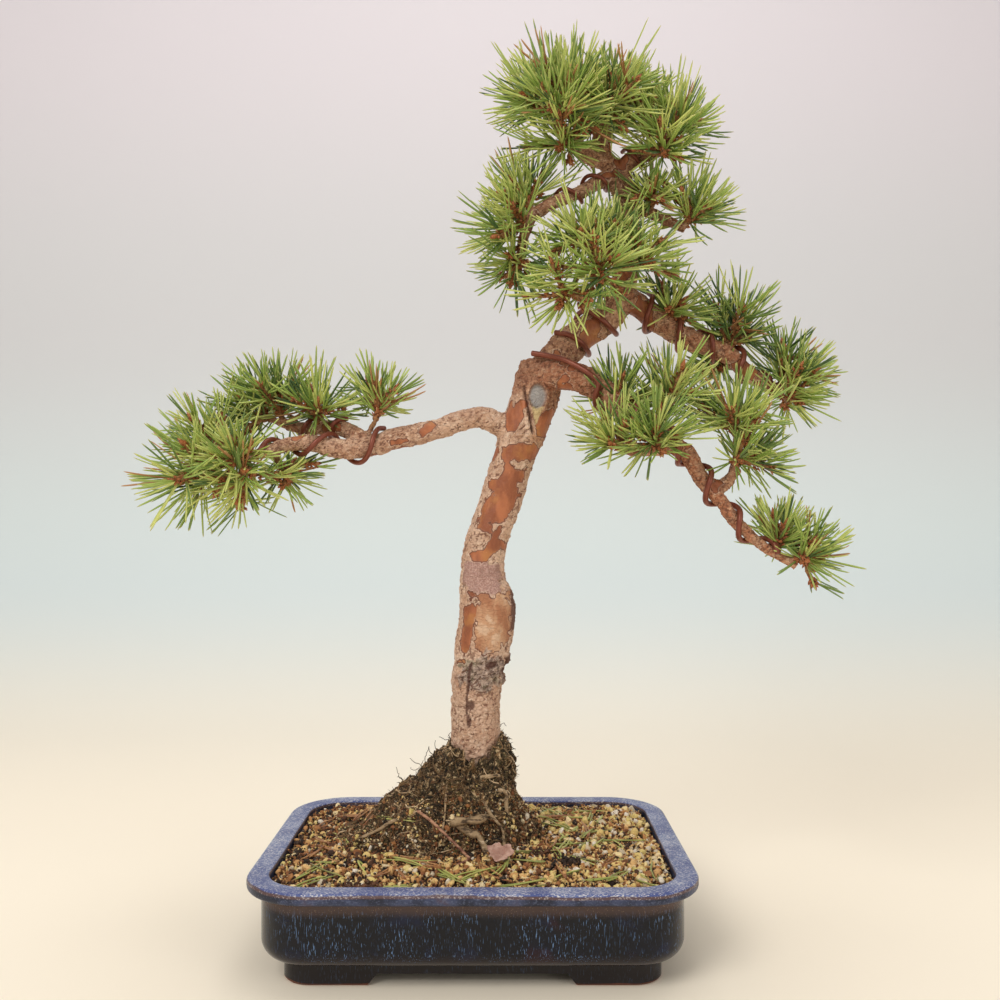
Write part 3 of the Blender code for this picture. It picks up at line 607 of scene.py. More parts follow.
def slot_cutter(name, half_x, half_y, top, slant=(0, 0)):
    """A block through the foot ring, wider at the bottom by the slant."""
    bm = bmesh.new()
    bmesh.ops.create_cube(bm, size=2)
    for vert in bm.verts:
        wider = (0, 0) if vert.co.z > 0 else slant
        vert.co.x = POT_CENTRE.x + math.copysign(half_x + wider[0], vert.co.x)
        vert.co.y = POT_CENTRE.y + math.copysign(half_y + wider[1], vert.co.y)
        vert.co.z = top if vert.co.z > 0 else -2 * MM
    return mesh_from(name, bm)


def drain_cutter(name, side):
    bm = bmesh.new()
    bmesh.ops.create_cone(bm, cap_ends=True, segments=40, radius1=DRAIN_RADIUS,
                          radius2=DRAIN_RADIUS, depth=30 * MM)
    bmesh.ops.translate(bm, verts=bm.verts, vec=(
        POT_CENTRE.x + side * DRAIN_ACROSS, POT_CENTRE.y, 10 * MM))
    return mesh_from(name, bm)


def cut(piece, cutters):
    """Takes the cutter meshes out of a piece and leaves it as plain mesh."""
    holders = [link(mesh.name, mesh) for mesh in cutters]
    for holder in holders:
        step = piece.modifiers.new(holder.name, "BOOLEAN")
        step.object = holder
        step.operation = "DIFFERENCE"
    edge = piece.modifiers.new("softened_edges", "BEVEL")
    edge.width = 0.5 * MM
    edge.segments = 2
    edge.limit_method = "ANGLE"
    edge.angle_limit = math.radians(50)
    mesh = baked(piece)
    piece.modifiers.clear()
    piece.data = mesh
    for holder in holders:
        bpy.data.objects.remove(holder, do_unlink=True)
    mesh.shade_smooth()
    mesh.set_sharp_from_angle(angle=math.radians(38))


def glaze_material(pot):
    """Blue glaze: pale and speckled on the rim, near black and streaked on the body."""
    paint = Paint("blue_glaze")
    level, top = paint.level(), pot_high.z
    wander = paint.noise(paint.stretched(1, 1, 0.2), 26.0, 3.0)
    up = level + (wander - 0.5) * (3 * MM)

    def below_top(start, end):
        return paint.rise(up, top - start * MM, top - end * MM)

    mottle = paint.noise(paint.place, 60.0, 4.0, 0.65)
    speckle = paint.noise(paint.bent(paint.stretched(0.6, 1.7, 0.8), 160.0, 0.002), 1300.0, 2.0)
    speckle = paint.rise(speckle + (mottle - 0.5) * 0.25, 0.54, 0.62)
    rim = paint.over(colour(74, 86, 138), (paint.rise(mottle, 0.35, 0.7), pot.rim_blue),
                     (speckle * 0.9, colour(226, 222, 220)))
    lip_side = paint.over(
        colour(34, 38, 54), (paint.rise(mottle, 0.35, 0.65), colour(68, 76, 106)),
        (paint.rise(mottle, 0.55, 0.7) * 0.6, colour(76, 58, 62)),
        (speckle * 0.25, colour(120, 130, 160)))
    path = paint.bent(paint.stretched(1, 1, 0.09), 110.0, 0.004)
    streak = paint.noise(path, 2500.0, 2.0, 0.6)
    cluster = paint.noise(paint.stretched(1, 1, 0.5), 60.0, 3.0)
    streak = paint.rise(streak, 0.61, 0.67) * (0.25 + 0.75 * paint.rise(cluster, 0.42, 0.58))
    purple = paint.rise(paint.noise(paint.stretched(1, 1, 1.6), 30.0, 2.0), 0.58, 0.68)
    low = paint.rise(up, 24 * MM, 13 * MM)
    specks = 1 - paint.rise(paint.cells(paint.place, 900.0), 0.1, 0.26)
    collar = below_top(16, 10)
    body = paint.over(
        pot.body_blue, (paint.rise(mottle, 0.45, 0.75), colour(18, 26, 52)),
        (purple * 0.6, colour(48, 16, 26)),
        # Painted reflection: a near-black band 22 to 28 mm under the rim stands for dark
        # surroundings mirrored in the glaze.
        (below_top(32, 28) * below_top(16, 22) * 0.7, colour(5, 7, 18)),
        (low * 0.8, colour(54, 44, 42)),
        (paint.rise(level, 13 * MM, 11 * MM) * 0.7, colour(26, 24, 28)),
        (streak * (0.9 - low * 0.6), pot.streak_blue),
        (collar * 0.95, colour(84, 66, 62)),
        (collar * specks * 0.6, colour(160, 132, 110)))
    lip_foot = top - pot.lip_depth
    side = paint.rise(level, lip_foot - 0.4 * MM, lip_foot + 0.6 * MM)
    edge = below_top(2.6, 1.8) * below_top(0.5, 1.1)
    clay = paint.rise(up, 1.6 * MM, 0.6 * MM)
    tint = paint.over(body, (side, lip_side), (below_top(1.1, 0.5), rim),
                      (edge * 0.75, colour(104, 78, 74)),
                      (edge * speckle * 0.6, colour(190, 180, 176)), (clay, pot.clay))
    ripple = paint.noise(paint.stretched(1, 1, 0.4), 70.0, 2.0)
    relief = ripple + streak * 0.12 + speckle * side * 0.2
    rough = 0.1 + side * 0.22 + mottle * 0.06 + clay * 0.6
    return paint.finish(tint, rough, relief, 0.6 * MM, 0.5, Specular_IOR_Level=0.3)


def build_pot(scene):
    pot = scene.bonsai_pot
    half_x, half_y, top = POT_HALF.x, POT_HALF.y, pot.foot_height
    foot_reach, slant, beyond = 36.5 * MM, 6.6 * MM, 10 * MM
    cutters = [
        slot_cutter("gap_long", 51.5 * MM, half_y + beyond, top, (slant, 0)),
        slot_cutter("gap_short", half_x + beyond, 32 * MM, top, (0, slant)),
        slot_cutter("recess", half_x - foot_reach, half_y - foot_reach, top),
        drain_cutter("drain_left", -1), drain_cutter("drain_right", 1)]
    piece = add_piece("pot_glazed", pot_body_mesh(pot), glaze_material(pot), "glaze", "pot")
    cut(piece, cutters)


# ---------------------------------------------------------------- wood

def limb_line(name, step):
    """Centre line of a limb in metres: x, y, z, radius."""
    rows = list(LIMBS[name])
    if name == "trunk":
        radius = rows[0][3]
        rows = [(0, 0, BALL_TOP - SOCKET_DEPTH, radius), (0, 0, BALL_TOP, radius)] + rows
    line = smooth_path(np.array(rows, float) * MM, step)
    line[:, :3] += FOOT
    return line


def tube_mesh(name, line, sides):
    points, faces = tubes(line[None, :, :3], line[None, :, 3], sides)
    return make_mesh(name, points, faces)


# Patches on the front of the trunk: finish, across from its centre line, height, half width
# and half height, in mm.
PATCHES = [
    ("peeled", 1.5, 240, 14, 5.0), ("peeled", 0, 211, 8.6, 19.5), ("peeled", 5.8, 183, 5.8, 4.4),
    ("peeled", -2, 177, 5.6, 3.6), ("peeled", -10.8, 135, 3.4, 17.5),
    ("peeled", -8, 262, 6, 9), ("peeled", 10, 258, 4.5, 8),
    ("purple", -0.5, 164.5, 11, 11.5), ("peach", 4.5, 136, 10.8, 17.0),
    ("scaly", 3.5, 107.5, 14, 10.5),
    ("dark", -2.5, 87.7, 2.2, 3.2), ("dark", -4.0, 78, 1.4, 4.2), ("dark", 15.6, 143, 1.2, 14),
    ("dark", -5.2, 98, 0.9, 19), ("dark", 7, 112, 3, 2), ("dark", 16, 110, 1.5, 7),
]
FINISHES = ("peeled", "purple", "peach", "scaly", "dark")
BARK_NOTES = FINISHES + ("old", "crack", "wound", "wedge", "twig", "plate", "warm")

# Wound on the upper trunk: middle of the grey cut, in mm from the foot of the trunk.
WOUND = (37.7, 274.3)

# How far each limb's bark is from pale plates (0) to rough old bark (1), base and tip.
OLD_BARK = {
    "trunk": (0.1, 0.45), "left": (0.12, 0.6), "left_upper": (0.5, 0.8), "leader": (0.75, 0.8),
    "crown": (0.8, 0.9), "apex_right": (0.8, 0.9), "side_right": (0.8, 0.9),
    "upper_left": (0.7, 0.9), "upper_right": (0.7, 0.85), "centre": (0.8, 0.9),
    "lower_right": (0.9, 0.8), "lower_spur": (0.8, 0.9), "lower_back_spur": (0.8, 0.9),
}

# How orange-brown the old bark of some limbs is; the others have a little of it.
WARM_BARK = {"upper_right": 0.95, "lower_right": 0.85, "left_upper": 0.6, "crown": 0.4}


def limb_index():
    """A search tree of points along every limb, and what is known at each."""
    rows = []
    for name in LIMBS:
        line = limb_line(name, 2 * MM)
        for i, row in enumerate(line):
            rows.append((name, i / (len(line) - 1), Vector(row[:3]), row[3]))
    tree = KDTree(len(rows))
    for i, row in enumerate(rows):
        tree.insert(row[2], i)
    tree.balance()
    return tree, rows


def patch_masks(across, height, place):
    """How much of each finish a point on the trunk's front has."""
    masks = dict.fromkeys(FINISHES, 0.0)
    wobble = noise.noise(place / (6 * MM)) * 0.5 + noise.noise(place / (2.2 * MM)) * 0.2
    for finish, x, z, half_x, half_z in PATCHES:
        away_x = abs(across - x) / half_x
        away_z = abs(height - z) / half_z
        if away_x > 1.6 or away_z > 1.6:
            continue
        power = 2.0 if finish == "dark" else 3.2
        away = (away_x ** power + away_z ** power) ** (1 / power)
        share = float(smoothstep(1.0 - away + wobble, -0.06, 0.06))
        masks[finish] = max(masks[finish], share)
    return masks


def wound_relief(x, z):
    """Height in mm of the healed wound and how much a point belongs to cut, rim and wedge."""
    away = math.hypot((x - WOUND[0]) / 5.2, (z - WOUND[1]) / 7.6)
    cut_share = float(smoothstep(away, 1.0, 0.86))
    rim = float(smoothstep(away, 0.9, 1.05) * smoothstep(away, 1.6, 1.2))
    down = (WOUND[1] - 6 - z) / 11
    wedge = 0.0
    if 0 < down < 1:
        width = 4.2 * (1 - down) + 0.4
        wedge = float(smoothstep(abs(x - WOUND[0] + 0.6 * down), width, width * 0.6))
    seam_x = 29.6 + (279 - z) * 0.2
    seam = 0.0
    if 252 < z < 281:
        seam = float(smoothstep(abs(x - seam_x), 1.3, 0.3))
    ridge = 0.0
    if 250 < z < 284:
        ridge = float(smoothstep(abs(x - seam_x + 2.2), 2.0, 0.6))
    lift = -1.4 * cut_share + 1.3 * rim - 0.9 * wedge - 1.6 * seam + 1.0 * ridge
    return lift, cut_share, wedge, max(seam, 0.8 * float(smoothstep(abs(away - 0.98), 0.1, 0.02)))


def carve_bark(mesh, bark):
    """Moves the wood's skin into plates and cracks, and notes each point's finish."""
    tree, rows = limb_index()
    places, normals = read_skin(mesh)
    notes = {key: np.zeros(len(places)) for key in BARK_NOTES}
    lift = np.zeros(len(places))
    for i, (spot, normal) in enumerate(zip(places, normals)):
        place = Vector(spot)
        near = tree.find_n(place, 30)
        found, distance = min(((item[1], item[2]) for item in near),
                              key=lambda item: item[1] - rows[item[0]][3])
        name, share, middle, radius = rows[found]
        twig = float(smoothstep(distance - radius, 1.6 * MM, 3.2 * MM))
        out = place - middle
        x, z = (place.x - FOOT.x) / MM, (place.z - FOOT.z) / MM
        size = bark.plate_size * (0.55 + 0.45 * min(radius / (14 * MM), 1))
        level = place.z
        if name == "trunk":             # long plates above, short ones at the foot
            level = (1.5 * min(z, 110) + 0.6 * max(z - 110, 0)) * MM
        flat = Vector((place.x, place.y, level)) / size
        flat += noise.noise_vector(flat * 1.6) * 0.55
        gaps, sites = noise.voronoi(flat)
        edge = gaps[1] - gaps[0]
        crack = 1 - float(smoothstep(edge, 0.0, 0.08))
        crack *= float(smoothstep(noise.noise(place / (5 * MM)), -0.5, 0.0))
        plate = noise.cell(sites[0] * 7.3)
        grain = noise.fractal(place / (2.6 * MM), 0.7, 2.1, 3)
        swell = noise.noise(place / (14 * MM))
        start_old, end_old = OLD_BARK[name]
        old = start_old + (end_old - start_old) * share
        if name == "trunk":
            right = float(smoothstep(x - (middle.x - FOOT.x) / MM, 2, 8))
            old = 0.12 + 0.8 * float(smoothstep(z, 266, 286))
            old = max(old, 0.85 * right * float(smoothstep(z, 238, 250)))
        masks = dict.fromkeys(FINISHES, 0.0)
        if name == "trunk" and out.y < 0.45 * radius:
            masks = patch_masks((place.x - middle.x) / MM, z, place)
        elif twig < 0.5 and z > 105:
            bare = noise.noise(place / (17 * MM) + Vector((3.1, 0, 0)))
            bare += 0.3 * noise.noise(place / (4.5 * MM))
            masks["peeled"] = float(smoothstep(bare, 0.32, 0.38))
        bare = max(masks["peeled"], masks["peach"])
        coarse = 1 - 0.85 * max(bare, 0.8 * masks["purple"])
        fine = min(radius / (11 * MM), 1.0) ** 0.5
        depth = bark.relief * fine
        lift[i] = depth * coarse * (0.6 * grain + 0.9 * (plate - 0.5) - 0.8 * crack)
        lift[i] += 0.7 * MM * fine * swell + 0.1 * MM * grain
        lift[i] -= (0.75 * masks["peeled"] + 0.25 * masks["peach"]) * MM * fine
        lift[i] += (0.9 * grain + 0.5) * masks["scaly"] * MM
        lift[i] += (0.9 if x > 19 else -0.8) * masks["dark"] * MM
        if old > 0.6:
            lift[i] += (0.45 + 0.25 * grain) * (old - 0.5) * MM * fine
        if twig > 0.3:
            lift[i] = 0.45 * MM * noise.noise(place / (1.7 * MM))
        if name in ("trunk", "leader") and out.y < 0 and 248 < z < 288 and 22 < x < 50:
            carved, cut_share, wedge, dark = wound_relief(x, z)
            calm = max(cut_share, wedge)
            lift[i] = lift[i] * (1 - 0.9 * calm) + carved * MM
            notes["wound"][i] = cut_share
            notes["wedge"][i] = wedge
            masks["dark"] = max(masks["dark"], dark)
            masks["peeled"] *= 1 - calm
        for key in FINISHES:
            notes[key][i] = masks[key]
        notes["old"][i] = old
        notes["warm"][i] = WARM_BARK.get(name, 0.25)
        notes["crack"][i] = crack * coarse * (1 - twig)
        notes["twig"][i] = twig
        notes["plate"][i] = 0.5 + 0.5 * plate
    write_points(mesh, places + normals * lift[:, None])
    write_notes(mesh, notes)


def bark_material(bark):
    """Pale cracked plates over orange under-bark, rougher and browner on the upper limbs."""
    paint = Paint("pine_bark")
    note = {key: paint.attribute(key) for key in BARK_NOTES}
    broad = paint.noise(paint.place, 70.0, 3.0)
    fine = paint.noise(paint.place, 420.0, 4.0, 0.7)
    dust = paint.noise(paint.place, 1100.0, 3.0, 0.7)
    grain = paint.noise(paint.stretched(1, 1, 0.35), 300.0, 3.0)
    lines = paint.noise(paint.stretched(1.2, 1.2, 0.5), 100.0, 3.0)
    ridges = paint.noise(paint.bent(paint.place, 100.0, 0.006), 150.0, 4.0, 0.6)
    smudge = paint.noise(paint.bent(paint.stretched(1, 1, 0.7), 90.0, 0.008), 95.0, 4.0, 0.6)
    flakes = paint.cells(paint.bent(paint.stretched(1, 1, 1.7), 120.0, 0.004), 260.0,
                         "DISTANCE_TO_EDGE")
    hairline = 1 - paint.rise(flakes, 0.02, 0.12)
    pale = paint.over(
        colour(202, 162, 134), (paint.rise(broad, 0.35, 0.65), bark.pale),
        (note["plate"] * 0.6, colour(196, 158, 134)),
        (paint.rise(fine, 0.52, 0.7) * 0.6, colour(242, 224, 204)),
        (paint.rise(fine, 0.45, 0.36) * 0.6, colour(140, 98, 76)))
    old = paint.over(
        bark.brown, (paint.rise(broad, 0.4, 0.62), colour(196, 146, 110)),
        (note["warm"] * paint.rise(ridges, 0.38, 0.56), colour(178, 104, 62)),
        (paint.rise(fine, 0.5, 0.66) * 0.7, colour(222, 182, 146)),
        (paint.rise(fine, 0.46, 0.36) * 0.7, colour(88, 54, 38)),
        (paint.rise(note["old"], 0.8, 0.95) * 0.6, colour(118, 68, 48)))
    purple = paint.over(
        colour(166, 126, 114), (paint.rise(dust, 0.4, 0.62), colour(198, 162, 150)),
        (paint.rise(broad, 0.5, 0.66) * 0.6, colour(140, 104, 90)))
    peach = paint.over(
        colour(202, 154, 118), (paint.rise(smudge, 0.4, 0.6), colour(174, 118, 84)),
        (paint.rise(smudge, 0.42, 0.32) * 0.8, colour(222, 188, 158)),
        (paint.rise(fine, 0.58, 0.66) * 0.5, colour(168, 112, 80)))
    scaly = paint.over(
        colour(98, 78, 68), (paint.rise(fine, 0.38, 0.6), colour(196, 172, 156)),
        (paint.rise(broad, 0.5, 0.7) * 0.35, colour(136, 138, 96)))
    orange = paint.over(
        colour(144, 80, 48), (paint.rise(lines, 0.38, 0.66), bark.orange),
        (paint.rise(broad, 0.5, 0.7) * 0.7, colour(186, 124, 68)),
        (paint.rise(dust, 0.6, 0.75) * 0.4, colour(222, 166, 124)))
    bare = note["peeled"] + note["peach"]
    smooth_bark = paint.rise(bare + note["purple"], 0.1, 0.7)
    dark_lines = paint.rise(note["crack"] + hairline * 0.45 * (1 - smooth_bark), 0.25, 0.8)
    tint = paint.over(
        pale, (note["old"], old),
        (note["twig"], paint.mix(fine, colour(122, 80, 50), colour(190, 142, 96))),
        (note["purple"], purple), (note["peach"], peach), (note["scaly"], scaly),
        (note["peeled"], orange), (dark_lines * 0.7, colour(112, 70, 52)),
        # Painted shadow: a dark line along the raised edges of the bare patches.
        (paint.band(bare, 0.1, 0.45, 0.6, 0.9) * 0.85, colour(104, 56, 40)),
        # Painted highlight: a pale lit rim just outside the bare patches.
        (paint.band(bare, 0.005, 0.05, 0.1, 0.3) * 0.4, colour(236, 212, 190)),
        (note["dark"] * 0.85, colour(88, 52, 42)),
        (note["wedge"], paint.mix(grain, colour(226, 206, 158), colour(192, 160, 112))),
        (note["wound"], paint.mix(grain, colour(138, 132, 130), colour(178, 172, 168))))
    rough = 0.86 - note["peeled"] * 0.3 - note["wound"] * 0.3 - note["peach"] * 0.14
    relief = fine * 0.6 - hairline * 0.5 * (1 - note["peeled"]) - note["crack"] * 0.3
    return paint.finish(tint, rough, relief, 0.7 * MM, 0.8)


def build_wood(scene):
    bark = scene.bonsai_bark
    skins = [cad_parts["trunk_and_branches"].data]
    skins += [tube_mesh("limb_" + name, limb_line(name, 3 * MM), 28) for name in LIMBS]
    mesh = remeshed("trunk_and_limbs", skins, 1.0 * MM, 5)
    carve_bark(mesh, bark)
    add_piece("trunk_and_limbs", mesh, bark_material(bark), "bark", "trunk_and_branches")


# ---------------------------------------------------------------- wires

# Wires thinner than the usual one, as a share of it.
FINE_WIRES = {"wire_upper_left": 0.72, "wire_apex": 0.75, "wire_left_upper": 0.85,
              "wire_left_lower": 0.9}


def coil_line(name, diameter):
    """Centre line of a wire wound close round its limb."""
    limb, start, end, turns, first = WIRES[name]
    path = limb_line(limb, 2 * MM)
    steps = np.linalg.norm(np.diff(path[:, :3], axis=0), axis=1)
    travelled = np.concatenate([[0], np.cumsum(steps)]) / steps.sum()
    count = round(abs(turns) * STEPS_PER_TURN)
    shares = np.linspace(start, end, count + 1)
    middle = np.stack([np.interp(shares, travelled, path[:, k]) for k in range(4)], 1)
    ahead = unit(np.gradient(middle[:, :3], axis=0))
    side = np.array([0.0, 0, 1])
    result = []
    for i in range(count + 1):
        side = unit(side - side.dot(ahead[i]) * ahead[i])
        across = np.cross(ahead[i], side)
        angle = math.radians(first) + math.copysign(math.tau, turns) * i / STEPS_PER_TURN
        reach = middle[i, 3] + WIRE_CLEARANCE + diameter / 2
        result.append(middle[i, :3] + reach * (math.cos(angle) * side + math.sin(angle) * across))
    lead = [np.array(from_foot(*point)) for point in WIRE_LEADS.get(name, [])]
    return smooth_path(np.array(lead + result[::3] + result[-1:]), 1.6 * MM)


def wire_mesh(name, diameter):
    """A round wire with slightly burred, cut ends."""
    sides = 16
    line = coil_line(name, diameter)
    line = line[np.concatenate([[True], np.linalg.norm(np.diff(line, axis=0), axis=1) > 1e-6])]
    first, last = unit(line[0] - line[1]), unit(line[-1] - line[-2])
    tips = [line[0] + first * 0.5 * MM, line[0] + first * 0.4 * MM]
    tails = [line[-1] + last * 0.4 * MM, line[-1] + last * 0.5 * MM]
    path = np.array([*tips, *line, *tails])
    radii = np.full(len(path), diameter / 2)
    radii[[0, -1]] *= 0.84
    points, faces = tubes(path[None], radii[None], sides)
    ends = np.zeros((len(path), sides))
    ends[[0, -1]] = 1
    return make_mesh(name + "_wound", points, faces, {"cut": ends.ravel()})


def wire_material(wires):
    """Copper-brown coating with a satin sheen, bare metal at the cuts."""
    paint = Paint("coated_wire")
    cut_end = paint.rise(paint.attribute("cut"), 0.6, 0.95)
    wear = paint.noise(paint.place, 160.0, 3.0)
    fine = paint.noise(paint.place, 900.0, 2.0)
    tint = paint.over(colour(112, 56, 42), (wear, wires.brown),
                      (paint.rise(wear, 0.58, 0.72) * 0.5, colour(150, 92, 70)),
                      (cut_end, colour(222, 216, 208)))
    return paint.finish(tint, 0.3 + wear * 0.18, wear * 0.5 + fine * 0.2, 0.2 * MM, 0.4,
                        Metallic=0.35 + cut_end * 0.5)


def build_wires(scene):
    wires = scene.bonsai_wires
    material = wire_material(wires)
    for name in WIRES:
        diameter = wires.diameter * FINE_WIRES.get(name, 1)
        add_piece(name + "_wound", wire_mesh(name, diameter), material, "training_wire", name)


# ---------------------------------------------------------------- shoots, buds and needles

def shoot_plan(wood, key, number, row):
    """The shoots of one tuft: base, bud, share of needles and reach of each."""
    x, y, z, reach = row
    bud = from_foot(x, y, z)
    base, _, _, _ = wood.find_nearest(bud)
    heading = (bud - base).normalized()
    size = 31 * MM * reach
    start = bud - heading * size * 0.5
    shoots = [(start, bud, 1.0, reach)]
    roll = random.Random(f"{key}{number}")
    turn = roll.uniform(0, math.tau)
    side = heading.orthogonal().normalized()
    across = heading.cross(side)
    count = roll.choice((4, 5, 5))
    for i in range(count):
        angle = turn + math.tau * i / count + roll.uniform(-0.4, 0.4)
        spread = side * math.cos(angle) + across * math.sin(angle)
        lean = roll.uniform(0.45, 1.0)
        way = (heading * (1.1 - lean) + spread * lean + Vector((0, 0, 0.3))).normalized()
        length = size * roll.uniform(0.4, 0.82)
        fork = start + heading * size * roll.uniform(-0.05, 0.22)
        shoots.append((fork, fork + way * length, 0.66, reach * roll.uniform(0.72, 0.98)))
    return shoots


def needle_set(generator, shoots, needles):
    """Paths and widths of the needles of some shoots, their tones and which are brown."""
    paths, widths, tones, dead = [], [], [], []
    t = np.array([0, 0.12, 0.45, 0.8, 0.95, 1])
    for base, bud, share, reach in shoots:
        base, bud = np.array(base), np.array(bud)
        axis = unit(bud - base)
        stem = min(np.linalg.norm(bud - base), 17 * MM)
        side = unit(np.cross(axis, [0.31, 0.72, 0.62]))
        across = np.cross(axis, side)
        pairs = round(needles.pairs * share * reach)
        shoot_tone = generator.normal(0, 0.14)
        for i in range(pairs):
            up = (i + generator.uniform(0, 1)) / pairs
            turn = i * 2.39996 + generator.normal(0, 0.25)
            round_way = side * math.cos(turn) + across * math.sin(turn)
            lean = math.radians(np.interp(up, [0, 0.6, 1], [72, 50, 22]) + generator.normal(0, 12))
            way = axis * math.cos(lean) + round_way * math.sin(lean)
            if way[2] < -0.45 and generator.uniform() < 0.6:
                continue
            root = bud - axis * stem * (1 - up) + round_way * 1.6 * MM
            length = needles.length * reach * generator.normal(1.0, 0.15)
            if generator.uniform() < 0.025:
                length *= 1.3
            length *= 1 - 0.18 * max(0.0, up - 0.7) / 0.3
            bend = axis * generator.normal(0.05, 0.07) + round_way * generator.normal(0, 0.05)
            bend = bend + np.array([0, 0, 0.07])
            twist = unit(np.cross(way, generator.normal(0, 1, 3)))
            tone = generator.normal(0, 0.24) + shoot_tone
            brown = generator.uniform() < 0.03
            for hand in (-1, 1):
                if generator.uniform() < 0.05:
                    continue
                fork = way + twist * hand * generator.uniform(0.04, 0.17)
                reach_out = length * generator.uniform(0.94, 1.04)
                path = root + reach_out * (t[:, None] * fork + (t ** 2)[:, None] * bend)
                paths.append(path)
                width = needles.width / 2 * generator.uniform(0.85, 1.12)
                widths.append(width * np.array([0.7, 0.95, 1, 0.95, 0.7, 0.15]))
                tones.append(tone)
                dead.append(float(brown))
    return np.array(paths), np.array(widths), tones, dead, t


def needle_material(needles):
    """Waxy green needles, yellower when young, with pale tips and brown sheaths."""
    paint = Paint("pine_needles")
    along, tone, dead = (paint.attribute(key) for key in ("along", "tone", "dead"))
    mottle = paint.noise(paint.place, 90.0, 2.0)
    tint = paint.over(
        paint.ramp(tone, (0.12, needles.deep), (0.5, needles.green), (0.86, needles.young)),
        (paint.rise(mottle, 0.4, 0.7) * 0.35, colour(140, 168, 84)),
        (paint.rise(along, 0.88, 1.0) * 0.75, colour(206, 196, 122)),
        (paint.rise(along, 0.14, 0.02), colour(150, 112, 62)),
        (dead, paint.mix(along, colour(140, 86, 50), colour(196, 146, 94))))
    lines = paint.noise(paint.place, 1400.0, 1.0)
    return paint.finish(tint, 0.42 + mottle * 0.1, lines, 0.1 * MM, 0.3)


def scale_material(name, scale, grain, tints, edges, roughness, depth, strength):
    """Small overlapping scales, painted darker in their hollows as shade and with painted
    highlights; the edges are two levels of the grain.
    """
    paint = Paint(name)
    shadow, body, light = (colour(*tint) for tint in tints)
    scales = paint.cells(paint.place, scale)
    fine = paint.noise(paint.place, grain, 3.0)
    low, start, end = edges
    # Painted shade in the scales' hollows, and painted highlights where the grain is high.
    tint = paint.over(shadow, (paint.rise(scales, low, 0.6), body),
                      (paint.rise(fine, start, end) * 0.5, light))
    return paint.finish(tint, roughness, scales, depth, strength)


def bud_material():
    """Resinous orange-brown bud scales."""
    tints = ((104, 52, 30), (180, 108, 64), (220, 176, 130))
    return scale_material("bud_scales", 700.0, 500.0, tints, (0.1, 0.55, 0.7), 0.62, 0.5 * MM, 0.9)


def shoot_material():
    """Rough brown shoots with the stubs of shed needles."""
    tints = ((92, 58, 36), (166, 116, 74), (190, 156, 112))
    return scale_material("shoot_scales", 480.0, 380.0, tints, (0.15, 0.5, 0.65), 0.85,
                          0.6 * MM, 1.0)


def bud_set(generator, shoots):
    """Paths and widths of the buds and needle stubs of some shoots."""
    paths, widths = [], []
    t = np.linspace(0, 1, 7)
    swell = np.array([0.6, 0.95, 1.05, 1, 0.8, 0.45, 0.08])
    for base, bud, share, _ in shoots:
        base, bud = np.array(base), np.array(bud)
        axis = unit(bud - base)
        for i in range(6 if share == 1 else 3):
            way = axis if i == 0 else unit(axis + generator.normal(0, 0.55, 3))
            length = generator.uniform(4.5, 7.5) * MM * (1 if i == 0 else 0.75)
            paths.append(bud - axis * 1.5 * MM + way * (t * length)[:, None])
            widths.append(length * 0.2 * swell)
        for i in range(52 if share == 1 else 28):
            way = unit(generator.normal(0, 1, 3))
            way = unit(way - way.dot(axis) * axis)
            root = base + (bud - base) * generator.uniform(0, 1) + way * 1.3 * MM
            length = generator.uniform(1.8, 3.6) * MM
            paths.append(root + unit(way + axis * 0.9) * (t * length)[:, None])
            widths.append(generator.uniform(0.5, 0.95) * MM * swell)
    return np.array(paths), np.array(widths)


def stem_set(generator, shoots):
    """Paths and widths of the stems inside a tuft."""
    paths, widths = [], []
    t = np.linspace(0, 1, 14)
    for base, bud, share, _ in shoots:
        base, bud = np.array(base), np.array(bud)
        axis = unit(bud - base)
        bow = unit(np.cross(axis, generator.normal(0, 1, 3))) * 1.2 * MM
        back = base - axis * 2 * MM
        path = back + (bud - back) * t[:, None] + np.sin(t * math.pi)[:, None] * bow
        paths.append(path)
        thick = (2.1 if share == 1 else 1.6) * MM
        widths.append(thick * (1 + 0.22 * generator.normal(0, 1, 14)) * (1 - 0.25 * t))
    return np.array(paths), np.array(widths)


def needle_tone_and_light(points, count, tones):
    """Tone of each needle with painted light: lighter needles at the top of the tree and at its
    front, where the light falls.
    """
    high = smoothstep(points[:, 2], 0.28, 0.56).reshape(count, -1).mean(1)
    front = smoothstep(-points[:, 1], -0.03, 0.06).reshape(count, -1).mean(1)
    return 0.43 + np.array(tones) + 0.1 * high + 0.22 * front


def build_needles(scene):
    needles = scene.bonsai_needles
    wood = tree_of(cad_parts["trunk_and_branches"].data)
    green, scales, rough = needle_material(needles), bud_material(), shoot_material()
    for group, (key, rows) in enumerate(BUDS.items()):
        group_shoots = []
        for number, row in enumerate(rows, 1):
            generator = dice(1000 * group + number)
            shoots = shoot_plan(wood, key, number, row)
            group_shoots += shoots
            paths, widths, tones, dead, t = needle_set(generator, shoots, needles)
            start_sides = unit(generator.normal(0, 1, (len(paths), 3)))
            points, faces = tubes(paths, widths, NEEDLE_SIDES, 0.7, start_sides)
            corners = len(t) * NEEDLE_SIDES
            notes = {
                "tone": np.repeat(needle_tone_and_light(points, len(paths), tones), corners),
                "dead": np.repeat(dead, corners),
                "along": np.tile(np.repeat(t, NEEDLE_SIDES), len(paths))}
            name = f"{key}_{number}"
            mesh = make_mesh(name + "_green", points, faces, notes)
            add_piece(name + "_green", mesh, green, "needles", name)
        generator = dice(500 + group)
        for kind, make, sides, material, slot in (
                ("buds", bud_set, 6, scales, "dead_wood"), ("shoots", stem_set, 7, rough, "bark")):
            mesh = make_mesh(f"{key}_{kind}", *tubes(*make(generator, group_shoots), sides))
            add_piece(key.replace("needles", kind), mesh, material, slot)


# ---------------------------------------------------------------- soil

